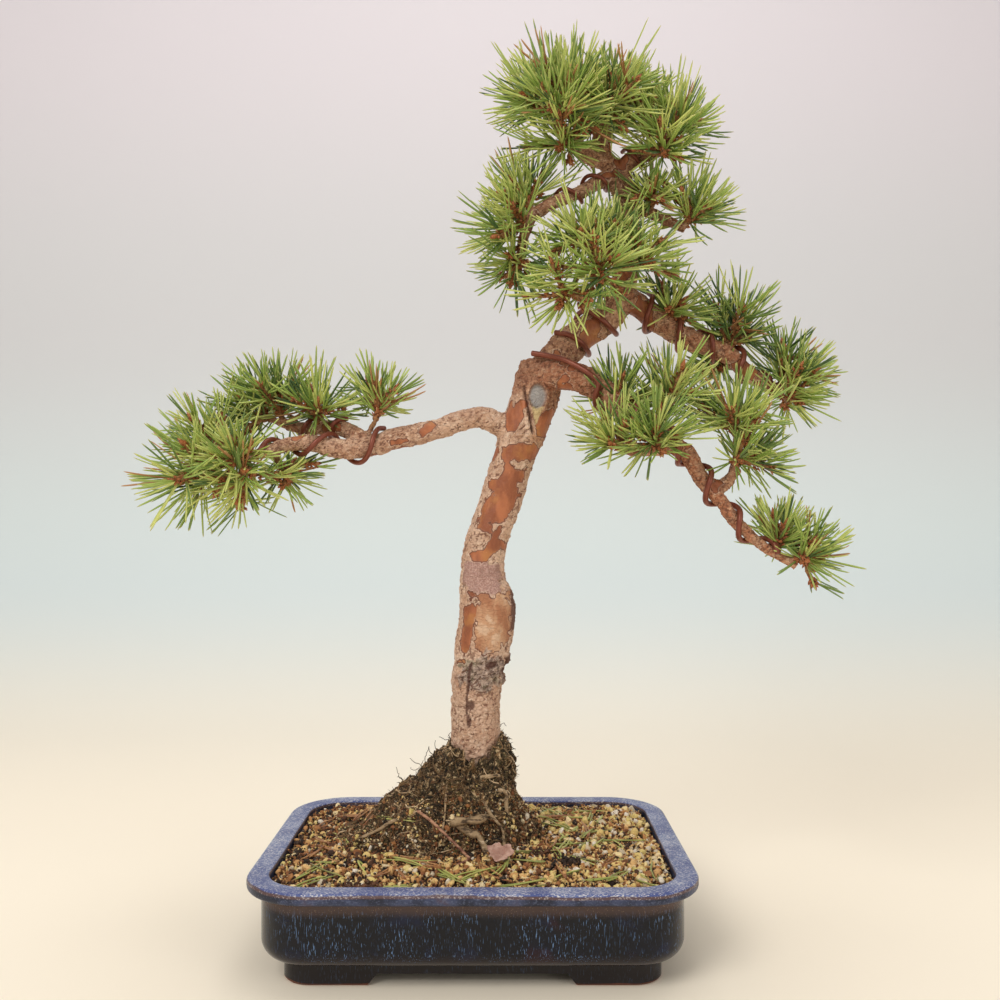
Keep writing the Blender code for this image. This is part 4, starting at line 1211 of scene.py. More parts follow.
def rock_shapes(generator, count, detail):
    """Unit-sized rounded, faceted stones."""
    bm = bmesh.new()
    bmesh.ops.create_icosphere(bm, subdivisions=detail, radius=1)
    ball = np.array([v.co for v in bm.verts])
    faces = np.array([[v.index for v in f.verts] for f in bm.faces])
    bm.free()
    shapes = []
    for _ in range(count):
        shape = ball * generator.uniform(0.88, 1.12, (len(ball), 1))
        for _ in range(9):
            normal = unit(generator.normal(0, 1, 3))
            reach = generator.uniform(0.42, 0.78)
            over = np.maximum(0, shape @ normal - reach)
            shape = shape - over[:, None] * normal
        shapes.append(shape)
    return np.array(shapes), faces


def scatter_mesh(name, generator, places, sizes, tones, detail=2):
    """Stones at some places, each turned at random, with its colour number."""
    shapes, faces = rock_shapes(generator, 14, detail)
    count = len(places)
    turns = unit(generator.normal(0, 1, (count, 4)))
    w, x, y, z = turns.T
    spin = np.stack([
        np.stack([1 - 2 * (y * y + z * z), 2 * (x * y - z * w), 2 * (x * z + y * w)], -1),
        np.stack([2 * (x * y + z * w), 1 - 2 * (x * x + z * z), 2 * (y * z - x * w)], -1),
        np.stack([2 * (x * z - y * w), 2 * (y * z + x * w), 1 - 2 * (x * x + y * y)], -1)], 1)
    squash = generator.uniform(0.62, 1.25, (count, 1, 3))
    stones = shapes[generator.integers(0, len(shapes), count)] * squash
    stones = np.einsum("nij,nkj->nki", spin, stones)
    points = places[:, None] + stones * sizes[:, None, None]
    corners = shapes.shape[1]
    all_faces = (faces[None] + (np.arange(count) * corners)[:, None, None]).reshape(-1, 3)
    return make_mesh(name, points.reshape(-1, 3), all_faces.tolist(),
                     {"tone": np.repeat(tones, corners)}, smooth=detail > 1)


def ground_at(trees, x, y):
    """Height of the highest of some surfaces under a point, or None."""
    best = None
    for tree in trees:
        hit, _, _, _ = tree.ray_cast(Vector((x, y, 0.3)), Vector((0, 0, -1)))
        if hit and (best is None or hit.z > best):
            best = hit.z
    return best


def grit_material(soil):
    """Grit of many colours: tan, cream, olive, brown and a few dark grains."""
    paint = Paint("soil_grit")
    tint = paint.ramp(
        paint.attribute("tone"), (0.0, colour(34, 28, 24)), (0.14, colour(74, 46, 30)),
        (0.3, colour(138, 86, 50)), (0.44, colour(186, 130, 76)), (0.58, soil.tan),
        (0.72, colour(220, 198, 120)), (0.84, colour(250, 224, 172)),
        (0.94, colour(200, 182, 150)), (1.0, colour(234, 222, 202)))
    fine = paint.noise(paint.place, 650.0, 3.0, 0.65)
    tint = paint.over(tint, (paint.rise(fine, 0.5, 0.3) * 0.5, colour(96, 66, 44)),
                      (paint.rise(fine, 0.58, 0.75) * 0.4, colour(232, 212, 176)))
    return paint.finish(tint, 0.9, fine, 0.5 * MM, 0.8)


def soil_material():
    """Dark crumbly soil between the grains."""
    paint = Paint("soil_bed")
    broad = paint.noise(paint.place, 120.0, 4.0, 0.6)
    fine = paint.noise(paint.place, 600.0, 4.0, 0.7)
    tint = paint.over(colour(38, 25, 17), (broad, colour(84, 54, 33)),
                      (paint.rise(fine, 0.56, 0.74) * 0.8, colour(130, 92, 56)))
    return paint.finish(tint, 0.95, fine, 1 * MM, 1.0)


def soil_bed():
    """The body of the soil, its top stirred up a little."""
    mesh = remeshed("soil_bed", [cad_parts["substrate"].data], 1.8 * MM, 1)
    places, normals = read_skin(mesh)
    lift = np.array([
        0.7 * MM * noise.noise(Vector(p) / (5 * MM)) + 0.4 * MM * noise.noise(Vector(p) / (2 * MM))
        if n[2] > 0.4 and p[2] > FOOT.z - 8 * MM else 0.0 for p, n in zip(places, normals)])
    write_points(mesh, places + normals * lift[:, None])
    return mesh


def soil_spots(generator, count, margin, surface, ball):
    """Random points on the soil, clear of the pot and of the root ball."""
    half_x = POT_HALF.x - SOIL_INSET - margin
    half_y = POT_HALF.y - SOIL_INSET - margin
    corner = SOIL_CORNER - margin
    spots = []
    while len(spots) < count:
        x, y = generator.uniform(-half_x, half_x), generator.uniform(-half_y, half_y)
        out = math.hypot(max(abs(x) - half_x + corner, 0), max(abs(y) - half_y + corner, 0))
        if out > corner:
            continue
        x, y = x + POT_CENTRE.x, y + POT_CENTRE.y
        level = ground_at([surface], x, y)
        mound = ground_at([ball], x, y)
        if level is None or (mound is not None and mound > level + 1 * MM):
            continue
        spots.append((x, y, level))
    return np.array(spots)


def grain_tones(generator, spots):
    """Colour numbers: browner and darker on the left, tan on the right and at the front."""
    across = (spots[:, 0] - POT_CENTRE.x) / POT_HALF.x
    ahead = -(spots[:, 1] - POT_CENTRE.y) / POT_HALF.y
    tones = generator.normal(0.54 + 0.14 * across + 0.06 * ahead, 0.25)
    rare = generator.uniform(0, 1, len(spots))
    tones = np.where(rare > 0.965, generator.uniform(0.9, 1, len(spots)), tones)
    tones = np.where(rare < 0.05, generator.uniform(0, 0.12, len(spots)), tones)
    return np.clip(tones, 0, 1)


# Patches of odd litter on the soil: x, y in mm from the trunk's foot, spread, grains, colour
# numbers from and to.
LITTER = [
    (-58, -80, 11, 190, 0.10, 0.24), (39, -36, 9, 90, 0.06, 0.2), (52, -48, 9, 110, 0.0, 0.07),
    (-40, -62, 4, 10, 0.93, 0.97),
]


def litter_crumbs(generator, surfaces):
    """Crumbs of the patches of odd litter: place, size and colour number."""
    rows = []
    for x, y, spread, count, low, high in LITTER:
        for _ in range(count):
            place = from_foot(x + generator.normal(0, spread / 2),
                              y + generator.normal(0, spread / 3), 0)
            level = ground_at(surfaces, place.x, place.y)
            if level is not None:
                rows.append((place.x, place.y, level + generator.uniform(1, 4.5) * MM,
                             generator.uniform(0.7, 1.7) * MM, generator.uniform(low, high)))
    return np.array(rows)


def build_soil(scene):
    soil = scene.bonsai_soil
    add_piece("soil_bed", soil_bed(), soil_material(), "grit", "substrate")
    grit = grit_material(soil)
    surface = tree_of(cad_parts["substrate"].data)
    ball = tree_of(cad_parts["root_ball"].data)
    generator = dice(7)
    spots = soil_spots(generator, soil.grains, 2.2 * MM, surface, ball)
    sizes = soil.grain_size / 2 * np.clip(generator.lognormal(0, 0.36, len(spots)), 0.45, 1.8)
    tones = grain_tones(generator, spots)
    spots[:, 2] += sizes * generator.uniform(0.0, 0.9, len(spots))
    for part, chosen in enumerate(np.array_split(np.arange(len(spots)), GRIT_PIECES), 1):
        mesh = scatter_mesh(f"grit_{part}", generator, spots[chosen], sizes[chosen], tones[chosen])
        add_piece(f"grit_{part}", mesh, grit, "grit")
    spots = soil_spots(generator, soil.crumbs, 1.2 * MM, surface, ball)
    sizes = generator.uniform(0.45, 1.2, len(spots)) * MM
    spots[:, 2] += generator.uniform(0.3, 3.2, len(spots)) * MM
    tones = np.clip(grain_tones(generator, spots) - 0.3, 0, 1)
    crumbs = np.concatenate([np.column_stack([spots, sizes, tones]),
                             litter_crumbs(generator, [surface, ball])])
    mesh = scatter_mesh("crumbs", generator, crumbs[:, :3], crumbs[:, 3], crumbs[:, 4], detail=1)
    add_piece("crumbs", mesh, grit, "grit")


# ---------------------------------------------------------------- root ball

def moss_material(soil):
    """Dark peat and moss with pale specks, olive and brown patches, and near-black flecks of
    painted shade.
    """
    paint = Paint("mossy_root_ball")
    broad = paint.noise(paint.place, 60.0, 4.0, 0.6)
    fine = paint.noise(paint.place, 480.0, 4.0, 0.7)
    mats = paint.noise(paint.bent(paint.place, 90.0, 0.01), 230.0, 3.0, 0.7)
    tint = paint.over(
        colour(56, 44, 30), (paint.rise(broad, 0.4, 0.62), soil.moss),
        (paint.rise(mats, 0.48, 0.6) * 0.8, colour(138, 104, 66)),
        (paint.rise(broad, 0.58, 0.72) * 0.5, colour(104, 106, 50)),
        (paint.rise(fine, 0.53, 0.62) * 0.9, colour(216, 186, 144)),
        # Painted shade: near-black flecks for the shaded gaps in the moss.
        (paint.rise(fine, 0.47, 0.4) * 0.9, colour(16, 12, 9)))
    return paint.finish(tint, 0.95, mats + fine * 0.7, 1.6 * MM, 1.0)


def shape_mound(places):
    """Hollows the left flank, slopes its shoulder and opens the collar before the trunk."""
    x, y, z = ((places - np.array(FOOT)) / MM).T
    flank = smoothstep(-x, 8, 34) * smoothstep(z, 8, 24) * smoothstep(z, 66, 48)
    places[:, 0] += 7 * MM * flank
    shoulder = smoothstep(-x, 9, 19) * smoothstep(z, 44, 64)
    places[:, 2] -= 10 * MM * shoulder
    places[:, 0] -= 2 * MM * shoulder
    ragged = np.array([noise.noise(Vector(place) / (5 * MM)) for place in places])
    opening = smoothstep(-y, 4, 12) * smoothstep(np.abs(x - 1) + 7 * ragged, 15, 8)
    places[:, 2] -= (13 + 9 * ragged) * MM * opening * smoothstep(z, 36, 62)


def from_trunk(places):
    """How far points lie from the trunk's axis, in mm."""
    return np.hypot(places[:, 0] - FOOT.x, places[:, 1] - FOOT.y) / MM


def ball_mesh():
    """The mound, heaped and pitted like matted roots."""
    mesh = remeshed("root_mound", [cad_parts["root_ball"].data], 1.1 * MM, 2)
    places, normals = read_skin(mesh)
    shape_mound(places)
    lift = np.zeros(len(places))
    for i, spot in enumerate(places):
        place = Vector(spot)
        lumps = noise.fractal(place / (13 * MM), 0.9, 2.0, 3)
        pits = noise.ridged_multi_fractal(place / (7 * MM), 0.9, 2.1, 3, 1.0, 2.0)
        crumbs = noise.noise(place / (2.2 * MM))
        lift[i] = 3.6 * MM * lumps + 2.2 * MM * (pits - 1.1) + 1.1 * MM * crumbs
    height = (places[:, 2] - FOOT.z) / MM
    lift *= smoothstep(height, -12, 2) * smoothstep(from_trunk(places), 14, 18)
    write_points(mesh, places + normals * lift[:, None])
    return mesh


def crawl(surface, start, way, steps, stride, generator, wander, lift):
    """A path that keeps to a surface."""
    spot, way = Vector(start), Vector(way)
    path = []
    for _ in range(steps):
        hit, normal, _, _ = surface.find_nearest(spot)
        path.append(hit + normal * lift)
        way = way + Vector(generator.normal(0, wander, 3))
        way = (way - way.dot(normal) * normal).normalized()
        spot = hit + way * stride
    return path


def fibre_material():
    """Roots and moss fibres, from near black to pale tan."""
    paint = Paint("root_fibres")
    fine = paint.noise(paint.place, 500.0, 3.0)
    tint = paint.ramp(paint.attribute("tone"), (0.0, colour(30, 24, 18)),
                      (0.45, colour(84, 62, 40)), (0.7, colour(142, 108, 72)),
                      (1.0, colour(224, 194, 154)))
    tint = paint.mix(paint.rise(fine, 0.5, 0.68) * 0.4, tint, colour(90, 88, 52))
    return paint.finish(tint, 0.85, fine, 0.4 * MM, 0.8)


# Roots that show on the mound: start and end in mm from the trunk's foot (x, y, z), radius.
SURFACE_ROOTS = [
    ((-11, -40, 27), (10, -42, 23), 2.6), ((-4, -43, 19), (12, -44, 14), 2.2),
    ((-48, -30, 26), (-76, -34, 14), 1.1), ((18, -22, 44), (22, -26, 26), 1.3),
    ((6, -24, 48), (22, -22, 46), 1.2), ((-16, -26, 44), (-18, -38, 24), 0.7),
    ((18, 16, 40), (30, 26, 8), 2.4), ((-30, 22, 28), (-62, 24, 8), 2.0),
    ((0, 26, 46), (-6, 36, 16), 2.2), ((10, -34, 34), (30, -40, 8), 1.0),
]


def root_tubes(surface, generator):
    """Thick surface roots laid over the mound."""
    paths, radii = [], []
    for start, end, radius in SURFACE_ROOTS:
        start, end = from_foot(*start), from_foot(*end)
        path = []
        for step in range(20):
            t = step / 19
            spot = start.lerp(end, t) + Vector(generator.normal(0, 0.25, 3)) * MM
            hit, normal, _, _ = surface.find_nearest(spot)
            dip = 1.6 * (2 * t - 1) ** 4
            path.append(hit + normal * radius * MM * (0.45 - dip))
        path = np.array(path)
        for _ in range(12):
            path[1:-1] = (path[:-2] + 2 * path[1:-1] + path[2:]) / 4
        paths.append(path)
        swell = 1 + 0.2 * np.sin(np.linspace(0, 11, 20) + radius * 5)
        radii.append(radius * MM * swell * np.linspace(1, 0.75, 20))
    return np.array(paths), np.array(radii)


def root_material():
    """Weathered tan-grey root bark."""
    paint = Paint("surface_roots")
    fine = paint.noise(paint.stretched(0.4, 1, 1), 420.0, 4.0, 0.65)
    broad = paint.noise(paint.place, 90.0, 2.0)
    tint = paint.over(colour(132, 104, 74), (broad, colour(192, 164, 126)),
                      (paint.rise(fine, 0.5, 0.38) * 0.9, colour(62, 46, 32)),
                      (paint.rise(fine, 0.56, 0.68) * 0.7, colour(226, 202, 168)))
    return paint.finish(tint, 0.85, fine, 1.2 * MM, 1.0)


def crawling_roots(soil, surface, generator):
    """Fine roots that creep over the mound: path, radii and colour number of each."""
    rows = []
    cad_ball = tree_of(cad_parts["root_ball"].data)
    while len(rows) < soil.fibres:
        x, y = generator.uniform(-88, 46), generator.uniform(-40, 40)
        place = from_foot(x, y, 0)
        level = ground_at([cad_ball], place.x, place.y)
        if level is None or level < FOOT.z + 2 * MM or math.hypot(x, y) < 17:
            continue
        way = generator.normal(0, 1, 3) + np.array([x * 0.02, y * 0.02, -0.9])
        stride = generator.uniform(0.8, 2.6) * MM
        path = crawl(surface, (place.x, place.y, level), way, FIBRE_STEPS, stride, generator, 0.3,
                     generator.uniform(0.1, 0.9) * MM)
        radii = generator.uniform(0.22, 0.55) * MM * np.linspace(1, 0.45, FIBRE_STEPS)
        rows.append((path, radii, np.clip(generator.normal(0.5, 0.28), 0, 1)))
    return rows


def stray_hairs(spots, normals, generator):
    """Curly root hairs that stand out of the upper mound."""
    rows = []
    high = np.nonzero((spots[:, 2] > FOOT.z + 30 * MM) & (from_trunk(spots) > 17))[0]
    for chosen in generator.choice(high, 40, replace=False):
        way, path = unit(normals[chosen] + np.array([0, 0, 0.4])), [spots[chosen]]
        for _ in range(FIBRE_STEPS - 1):
            way = unit(way + generator.normal(0, 0.42, 3))
            path.append(path[-1] + way * 1.1 * MM)
        radii = 0.26 * MM * np.linspace(1, 0.6, FIBRE_STEPS)
        rows.append((path, radii, np.clip(generator.normal(0.25, 0.2), 0, 1)))
    return rows


def moss_tips(spots, normals, open_air, generator):
    """Short drooping tips of moss all over the mound."""
    rows = []
    t = np.linspace(0, 1, 4)[:, None]
    for chosen in generator.choice(open_air, 6500, replace=False):
        way = unit(normals[chosen] * 0.5 + generator.normal(0, 0.8, 3))
        droop = unit(generator.normal(0, 1, 3) - np.array([0, 0, 0.8]))
        length = generator.uniform(1.0, 3.6) * MM
        path = spots[chosen] - 0.4 * MM * normals[chosen]
        path = path + length * (t * way + t ** 2 * 0.5 * droop)
        radii = generator.uniform(0.16, 0.4) * MM * np.array([1, 0.9, 0.7, 0.2])
        rows.append((path, radii, np.clip(generator.normal(0.45, 0.26), 0, 1)))
    return rows


def mound_specks(spots, normals, open_air, generator):
    """Grains stuck in the moss, with pale patches low on the mound."""
    grains = generator.choice(open_air, 11000, replace=False)
    low = smoothstep(spots[grains, 2] - FOOT.z, 0.05, 0.0)
    grains = grains[generator.uniform(0, 1, len(grains)) < low][:MOUND_SPECKS]
    patch = np.array([noise.noise(Vector(spot) / (11 * MM)) for spot in spots[grains]])
    pale = generator.uniform(0, 1, len(grains)) < 0.15 + 0.5 * smoothstep(patch, 0.1, 0.3)
    tones = np.where(pale, generator.uniform(0.55, 1, len(grains)),
                     generator.uniform(0.03, 0.38, len(grains)))
    return scatter_mesh("mound_specks", generator, spots[grains] + normals[grains] * 0.2 * MM,
                        generator.lognormal(-0.3, 0.4, len(grains)) * MM, tones, detail=1)


def add_fibres(name, rows, sides, material):
    """A piece of many thin tubes, each in one tone."""
    paths, radii, tones = zip(*rows)
    points, faces = tubes(np.array(paths), np.array(radii), sides)
    notes = {"tone": np.repeat(tones, len(paths[0]) * sides)}
    add_piece(name, make_mesh(name, points, faces, notes), material, "moss")


def build_root_ball(scene):
    soil = scene.bonsai_soil
    piece = add_piece("root_mound", ball_mesh(), moss_material(soil), "moss", "root_ball")
    surface = tree_of(piece.data)
    spots, normals = read_skin(piece.data)
    open_air = np.nonzero((spots[:, 2] > FOOT.z + 3 * MM) & (from_trunk(spots) > 16.5))[0]
    generator = dice(21)
    fibres = fibre_material()
    rows = crawling_roots(soil, surface, generator)
    rows += stray_hairs(spots, normals, generator)
    add_fibres("fine_roots", rows, 5, fibres)
    add_fibres("moss_tips", moss_tips(spots, normals, open_air, generator), 3, fibres)
    points, faces = tubes(*root_tubes(surface, generator), 12)
    add_piece("surface_roots", make_mesh("surface_roots", points, faces), root_material(), "bark")
    add_piece("mound_specks", mound_specks(spots, normals, open_air, generator),
              grit_material(soil), "grit")


# ---------------------------------------------------------------- litter and drains

def leaf_mesh():
    """A curled piece of a dead leaf with a torn, lobed edge."""
    low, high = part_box("dead_leaf")
    middle, half = (low + high) / 2, (high - low) / 2
    rings, spokes = 12, 72
    points = []
    for ring in range(rings + 1):
        for spoke in range(spokes):
            angle = math.tau * spoke / spokes
            edge = 0.86 + 0.13 * math.sin(3 * angle + 0.6) + 0.09 * math.sin(7 * angle + 2)
            edge += 0.03 * math.sin(13 * angle)
            away = edge * (ring + 0.02) / rings
            x, y = away * math.cos(angle), away * math.sin(angle)
            fold = 1.1 * abs(y + 0.2 * x) + 0.35 * x * x
            ruffle = 0.35 * noise.noise(Vector((3 * x, 3 * y, 0.7))) * away
            bowl = (fold + ruffle + 0.3 * max(0, x) ** 2) * 1.6 * MM
            tilt = (y + 1) * 3.8 * MM
            points.append((middle.x + half.x * x, middle.y + half.y * y,
                           low.z + 2.2 * MM + tilt + bowl))
    faces = []
    for a in range(rings * spokes):
        b = a + 1 if (a + 1) % spokes else a + 1 - spokes
        faces.append((a, b, b + spokes, a + spokes))
    faces.append(tuple(range(spokes))[::-1])
    return make_mesh("torn_leaf", points, faces)


def leaf_material():
    """Dry leaf skin with fine veins and brown spots."""
    paint = Paint("dry_leaf_skin")
    veins = paint.cells(paint.bent(paint.place, 150.0, 0.004), 240.0, "DISTANCE_TO_EDGE")
    broad = paint.noise(paint.place, 200.0, 3.0)
    spots = paint.noise(paint.place, 700.0, 2.0)
    tint = paint.over(
        colour(162, 122, 106), (paint.rise(broad, 0.35, 0.68), colour(204, 166, 148)),
        (0.5 - 0.5 * paint.rise(veins, 0.0, 0.06), colour(160, 108, 90)),
        (paint.rise(spots, 0.6, 0.7) * 0.6, colour(128, 84, 66)))
    return paint.finish(tint, 0.8, veins + broad * 0.4, 0.4 * MM, 0.7)


def twig_mesh():
    """A fallen shoot that leans on the mound, forked at its lower end."""
    stem = [(-33, -33, 30), (-24, -38, 25), (-12, -43.5, 15.5), (-2, -48, 7.2)]
    fork = [(-2.4, -47.8, 7.4), (-5, -50, 6.4), (-9.5, -53, 5.4)]
    all_points, all_faces = np.empty((0, 3)), []
    for rows, radius in ((stem, 0.85 * MM), (fork, 0.65 * MM)):
        path = smooth_path(np.array([from_foot(*row) for row in rows]), 1.5 * MM)
        radii = radius * (1 + 0.08 * np.sin(np.arange(len(path)) * 1.9))
        points, faces = tubes(path[None], radii[None], 10)
        all_faces += [[corner + len(all_points) for corner in face] for face in faces]
        all_points = np.concatenate([all_points, points])
    return make_mesh("leaning_twig", all_points, all_faces)


def twig_material():
    """Peeling reddish bark of a dry shoot."""
    paint = Paint("fallen_shoot")
    fine = paint.noise(paint.stretched(0.4, 1, 1), 420.0, 3.0)
    tint = paint.mix(paint.rise(fine, 0.4, 0.62), colour(108, 66, 50), colour(186, 138, 108))
    return paint.finish(tint, 0.75, fine, 0.3 * MM, 0.7)


# Needles that fell where they show: both ends in mm from the trunk's foot (x, y).
FALLEN_PAIRS = [
    ((12, -80), (41, -71)), ((15, -82), (43, -75)), ((-62, -82), (-30, -77)),
    ((-58, -85), (-28, -82)), ((-96, -80), (-78, -66)), ((-98, -72), (-84, -48)),
    ((72, -74), (86, -60)), ((88, -72), (100, -78)), ((-18, -60), (-4, -74)),
    ((-20, -58), (-12, -70)), ((54, -40), (70, -54)), ((-92, -50), (-74, -66)),
]


def fallen_rows(count, generator):
    """Both ends of every fallen pair, in mm from the trunk's foot, and if it is brown."""
    rows = [(start, end, False) for start, end in FALLEN_PAIRS]
    while len(rows) < count:
        x, y = generator.uniform(-105, 105), generator.uniform(-76, 76)
        turn, length = generator.uniform(0, math.tau), generator.uniform(16, 36)
        end = (x + length * math.cos(turn), y + length * math.sin(turn))
        if abs(end[0]) < 106 and abs(end[1]) < 77:
            rows.append(((x, y), end, generator.uniform() < (0.45 if x < 0 else 0.3)))
    return rows


def fallen_needles(count, surfaces, generator):
    """Green and brown needles lying on the soil, in pairs."""
    paths, radii, tones, dead = [], [], [], []
    sides = 5
    t = np.linspace(0, 1, 7)
    for start, end, brown in fallen_rows(count, generator):
        heights = [ground_at(surfaces, *from_foot(*spot, 0)[:2]) or FOOT.z
                   for spot in (start, end)]
        if abs(heights[0] - heights[1]) > 9 * MM:
            continue
        for second in (0, 1):
            shift = generator.normal(0, 1.1, 2) * second
            ends = []
            for x, y in (start, (end[0] + shift[0] * 2, end[1] + shift[1] * 2)):
                place = from_foot(x, y, 0)
                level = ground_at(surfaces, place.x, place.y) or FOOT.z
                lift = generator.uniform(2.4, 4.0) * MM
                ends.append(np.array([place.x, place.y, level + lift]))
            bow = generator.normal(0, 1, 3) * np.array([1.4, 1.4, 0.3]) * MM
            path = ends[0] + (ends[1] - ends[0]) * t[:, None] + np.sin(t * math.pi)[:, None] * bow
            paths.append(path)
            radii.append(0.62 * MM * np.interp(t, [0, 0.1, 0.85, 1], [0.7, 1, 0.9, 0.2]))
            tones.append(generator.normal(0.5, 0.18))
            dead.append(1.0 if brown else 0.3)
    points, faces = tubes(np.array(paths), np.array(radii), sides, 0.7)
    corners = len(t) * sides
    notes = {"tone": np.repeat(tones, corners), "dead": np.repeat(dead, corners),
             "along": np.tile(np.repeat(t, sides), len(paths))}
    return make_mesh("fallen_needles", points, faces, notes)


def build_litter(scene):
    surfaces = [tree_of(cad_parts["substrate"].data),
                tree_of(bpy.data.objects["root_mound"].data)]
    leaf = add_piece("torn_leaf", leaf_mesh(), leaf_material(), "dry_leaf", "dead_leaf")
    skin = leaf.modifiers.new("thickness", "SOLIDIFY")
    skin.thickness = 0.35 * MM
    add_piece("leaning_twig", twig_mesh(), twig_material(), "dead_wood", "fallen_twig")
    mesh = fallen_needles(scene.bonsai_soil.loose_needles, surfaces, dice(33))
    add_piece("fallen_needles", mesh, needle_material(scene.bonsai_needles), "needles")


def screen_material():
    """Matt black moulded plastic."""
    paint = Paint("moulded_plastic")
    fine = paint.noise(paint.place, 900.0, 3.0)
    dust = paint.rise(paint.noise(paint.place, 150.0, 3.0), 0.5, 0.75)
    tint = paint.mix(dust * 0.5, colour(22, 22, 24), colour(74, 62, 50))
    return paint.finish(tint, 0.5 + dust * 0.3, fine, 0.1 * MM, 0.4)


def clip_material():
    """Aluminium wire, dulled by the soil."""
    paint = Paint("dulled_aluminium")
    stain = paint.rise(paint.noise(paint.place, 300.0, 3.0), 0.45, 0.7)
    tint = paint.mix(stain, colour(190, 188, 184), colour(132, 120, 106))
    return paint.finish(tint, 0.35 + stain * 0.3, stain, 0.05 * MM, 0.3, Metallic=0.9)


def build_drains(scene):
    """The frame's own screens and clips are the right shape and get their finishes."""
    for kind, material in (("drain_screen", screen_material()), ("screen_clip", clip_material())):
        for side in ("left", "right"):
            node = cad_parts[f"{kind}_{side}"]
            node.data.materials.clear()
            node.data.materials.append(material)


# ---------------------------------------------------------------- stage

def backdrop_mesh():
    """A floor that sweeps up into a wall."""
    curve_start, sweep, steps = 0.55, 0.5, 16
    profile = [(-2.5, 0.0), (curve_start, 0.0)]
    for step in range(1, steps + 1):
        angle = math.radians(90 * step / steps)
        profile.append((curve_start + sweep * math.sin(angle), sweep - sweep * math.cos(angle)))
    profile.append((curve_start + sweep, 3.2))
    points = [(x, y, z - 0.2 * MM) for y, z in profile for x in (-3.5, 3.5)]
    faces = [(2 * i, 2 * i + 1, 2 * i + 3, 2 * i + 2) for i in range(len(profile) - 1)]
    return make_mesh("backdrop", points, faces)


def backdrop_material():
    """Warm floor that fades to pale blue and then to a rosy grey."""
    paint = Paint("backdrop_paper")
    level = paint.level()
    run = level + 0.25 * paint.level("Y")
    tint = paint.over(colour(255, 244, 224), (paint.rise(run, 0.05, 0.4), colour(222, 231, 231)),
                      (paint.rise(level, 0.2, 0.6), colour(218, 218, 221)),
                      (paint.rise(level, 0.6, 1.1), colour(227, 221, 227)))
    return paint.finish(tint, 0.9, Specular_IOR_Level=0.1)


def add_light(name, place, size, power, tint):
    """A round softbox turned to the tree; it doesn't show itself."""
    lamp = bpy.data.lights.new(name, "AREA")
    lamp.shape = "DISK"
    lamp.size = size
    lamp.energy = power
    lamp.color = tint
    light = link(name, lamp)
    light.visible_camera = False
    light.location = place
    light.rotation_mode = "QUATERNION"
    aim = Vector((0, 0, 0.25))
    light.rotation_quaternion = (aim - Vector(place)).to_track_quat("-Z", "Y")


def build_stage(scene):
    stage = scene.bonsai_stage
    backdrop = link("backdrop", backdrop_mesh())
    backdrop.data.materials.append(backdrop_material())
    world = bpy.data.worlds.new("studio_air")
    world.use_nodes = True
    background = world.node_tree.nodes["Background"]
    background.inputs["Color"].default_value = (1.0, 0.985, 0.96, 1)
    background.inputs["Strength"].default_value = 0.42
    scene.world = world
    add_light("key_softbox", (-0.9, -1.3, 1.5), 1.1, 18.5, (1.0, 0.98, 0.95))
    add_light("fill_softbox", (1.4, -1.2, 0.7), 1.2, 6.5, (1.0, 0.97, 0.93))
    add_light("top_softbox", (0.1, 0.1, 1.9), 1.2, 9, (1.0, 1.0, 1.0))
    lens = bpy.data.cameras.new("studio_camera")
    lens.lens = 36.54
    lens.sensor_width = 36
    camera = link("studio_camera", lens)
    camera.location = (POT_CENTRE.x + 15 * MM, POT_CENTRE.y - stage.distance, stage.height)
    camera.rotation_euler = (math.radians(90) + stage.tilt, 0, 0)
    scene.camera = camera
    scene.view_settings.view_transform = "Standard"


# ---------------------------------------------------------------- add-on

class BONSAI_OT_pot(Operator):
    """Build the glazed pot"""
    bl_idname = "bonsai.pot"
    bl_label = "Pot"

    def execute(self, context):
        build_pot(context.scene)
        return {"FINISHED"}


class BONSAI_OT_drains(Operator):
    """Finish the drain screens and their clips"""
    bl_idname = "bonsai.drains"
    bl_label = "Drain Screens"

    def execute(self, context):
        build_drains(context.scene)
        return {"FINISHED"}


class BONSAI_OT_soil(Operator):
    """Build the soil bed with its grit and crumbs"""
    bl_idname = "bonsai.soil"
    bl_label = "Soil"

    def execute(self, context):
        build_soil(context.scene)
        return {"FINISHED"}


class BONSAI_OT_root_ball(Operator):
    """Build the mossy root ball with its roots and fibres"""
    bl_idname = "bonsai.root_ball"
    bl_label = "Root Ball"

    def execute(self, context):
        build_root_ball(context.scene)
        return {"FINISHED"}


class BONSAI_OT_wood(Operator):
    """Build the trunk and limbs with their bark"""
    bl_idname = "bonsai.wood"
    bl_label = "Trunk and Limbs"

    def execute(self, context):
        build_wood(context.scene)
        return {"FINISHED"}


class BONSAI_OT_wires(Operator):
    """Wind the training wires"""
    bl_idname = "bonsai.wires"
    bl_label = "Training Wires"

    def execute(self, context):
        build_wires(context.scene)
        return {"FINISHED"}


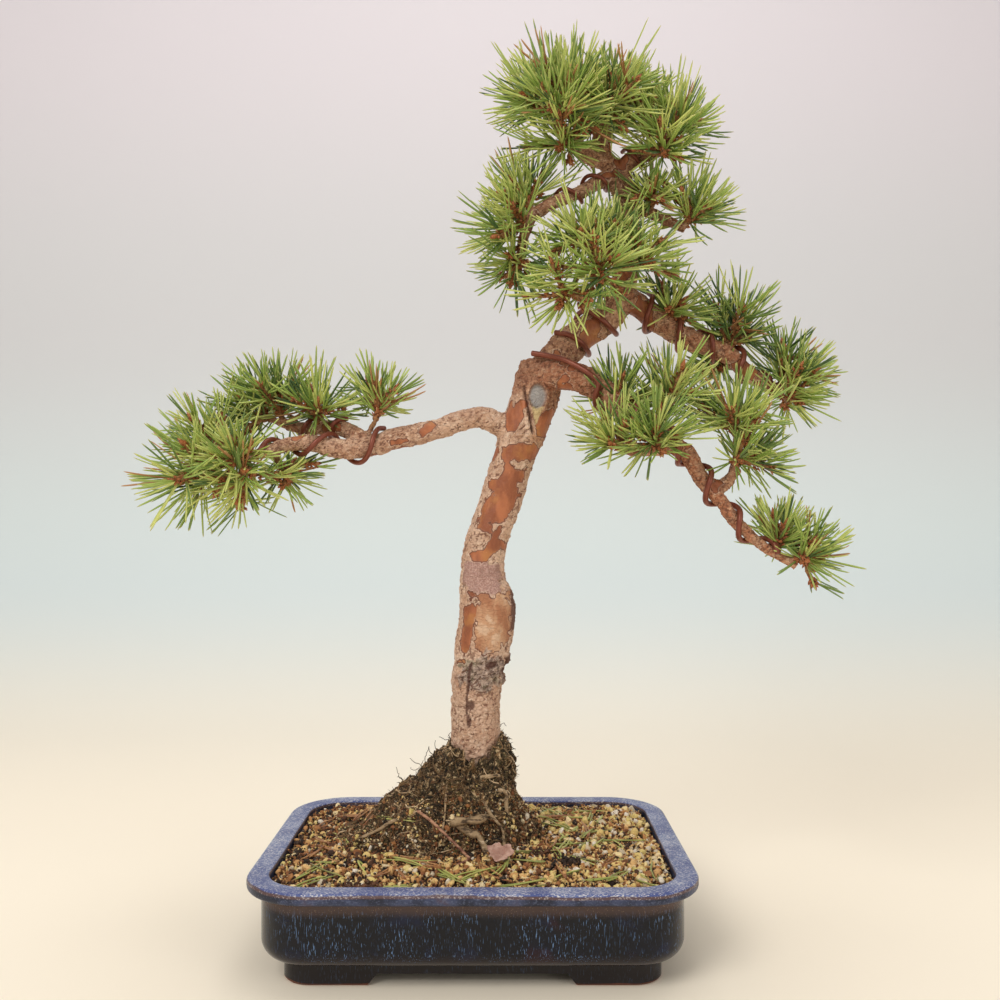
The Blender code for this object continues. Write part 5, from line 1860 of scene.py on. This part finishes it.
class BONSAI_OT_needles(Operator):
    """Grow the shoots, buds and needles"""
    bl_idname = "bonsai.needles"
    bl_label = "Needles"

    def execute(self, context):
        build_needles(context.scene)
        return {"FINISHED"}


class BONSAI_OT_litter(Operator):
    """Lay the leaf, the fallen twig and the loose needles"""
    bl_idname = "bonsai.litter"
    bl_label = "Litter"

    def execute(self, context):
        build_litter(context.scene)
        return {"FINISHED"}


class BONSAI_OT_stage(Operator):
    """Set up the backdrop, lights and camera"""
    bl_idname = "bonsai.stage"
    bl_label = "Stage"

    def execute(self, context):
        build_stage(context.scene)
        return {"FINISHED"}


OPERATORS = (
    BONSAI_OT_pot, BONSAI_OT_drains, BONSAI_OT_soil, BONSAI_OT_root_ball, BONSAI_OT_wood,
    BONSAI_OT_wires, BONSAI_OT_needles, BONSAI_OT_litter, BONSAI_OT_stage)
SETTINGS = {
    "bonsai_pot": PotSettings, "bonsai_soil": SoilSettings, "bonsai_bark": BarkSettings,
    "bonsai_wires": WireSettings, "bonsai_needles": NeedleSettings, "bonsai_stage": StageSettings}


class BONSAI_PT_panel(Panel):
    """Lists the bonsai's pieces and their settings"""
    bl_idname = "BONSAI_PT_panel"
    bl_label = "Wired Pine Bonsai"
    bl_space_type = "VIEW_3D"
    bl_region_type = "UI"
    bl_category = "Bonsai"

    def draw(self, context):
        for operator in OPERATORS:
            self.layout.operator(operator.bl_idname)
        for name, group in SETTINGS.items():
            box = self.layout.box()
            for key in group.__annotations__:
                box.prop(getattr(context.scene, name), key)


CLASSES = (*SETTINGS.values(), *OPERATORS, BONSAI_PT_panel)


def register():
    for item in CLASSES:
        bpy.utils.register_class(item)
    for name, group in SETTINGS.items():
        setattr(bpy.types.Scene, name, PointerProperty(type=group))


def unregister():
    for name in SETTINGS:
        delattr(bpy.types.Scene, name)
    for item in reversed(CLASSES):
        bpy.utils.unregister_class(item)


def main():
    register()
    for operator in OPERATORS:
        category, name = operator.bl_idname.split(".")
        getattr(getattr(bpy.ops, category), name)()


if __name__ == "__main__":
    main()
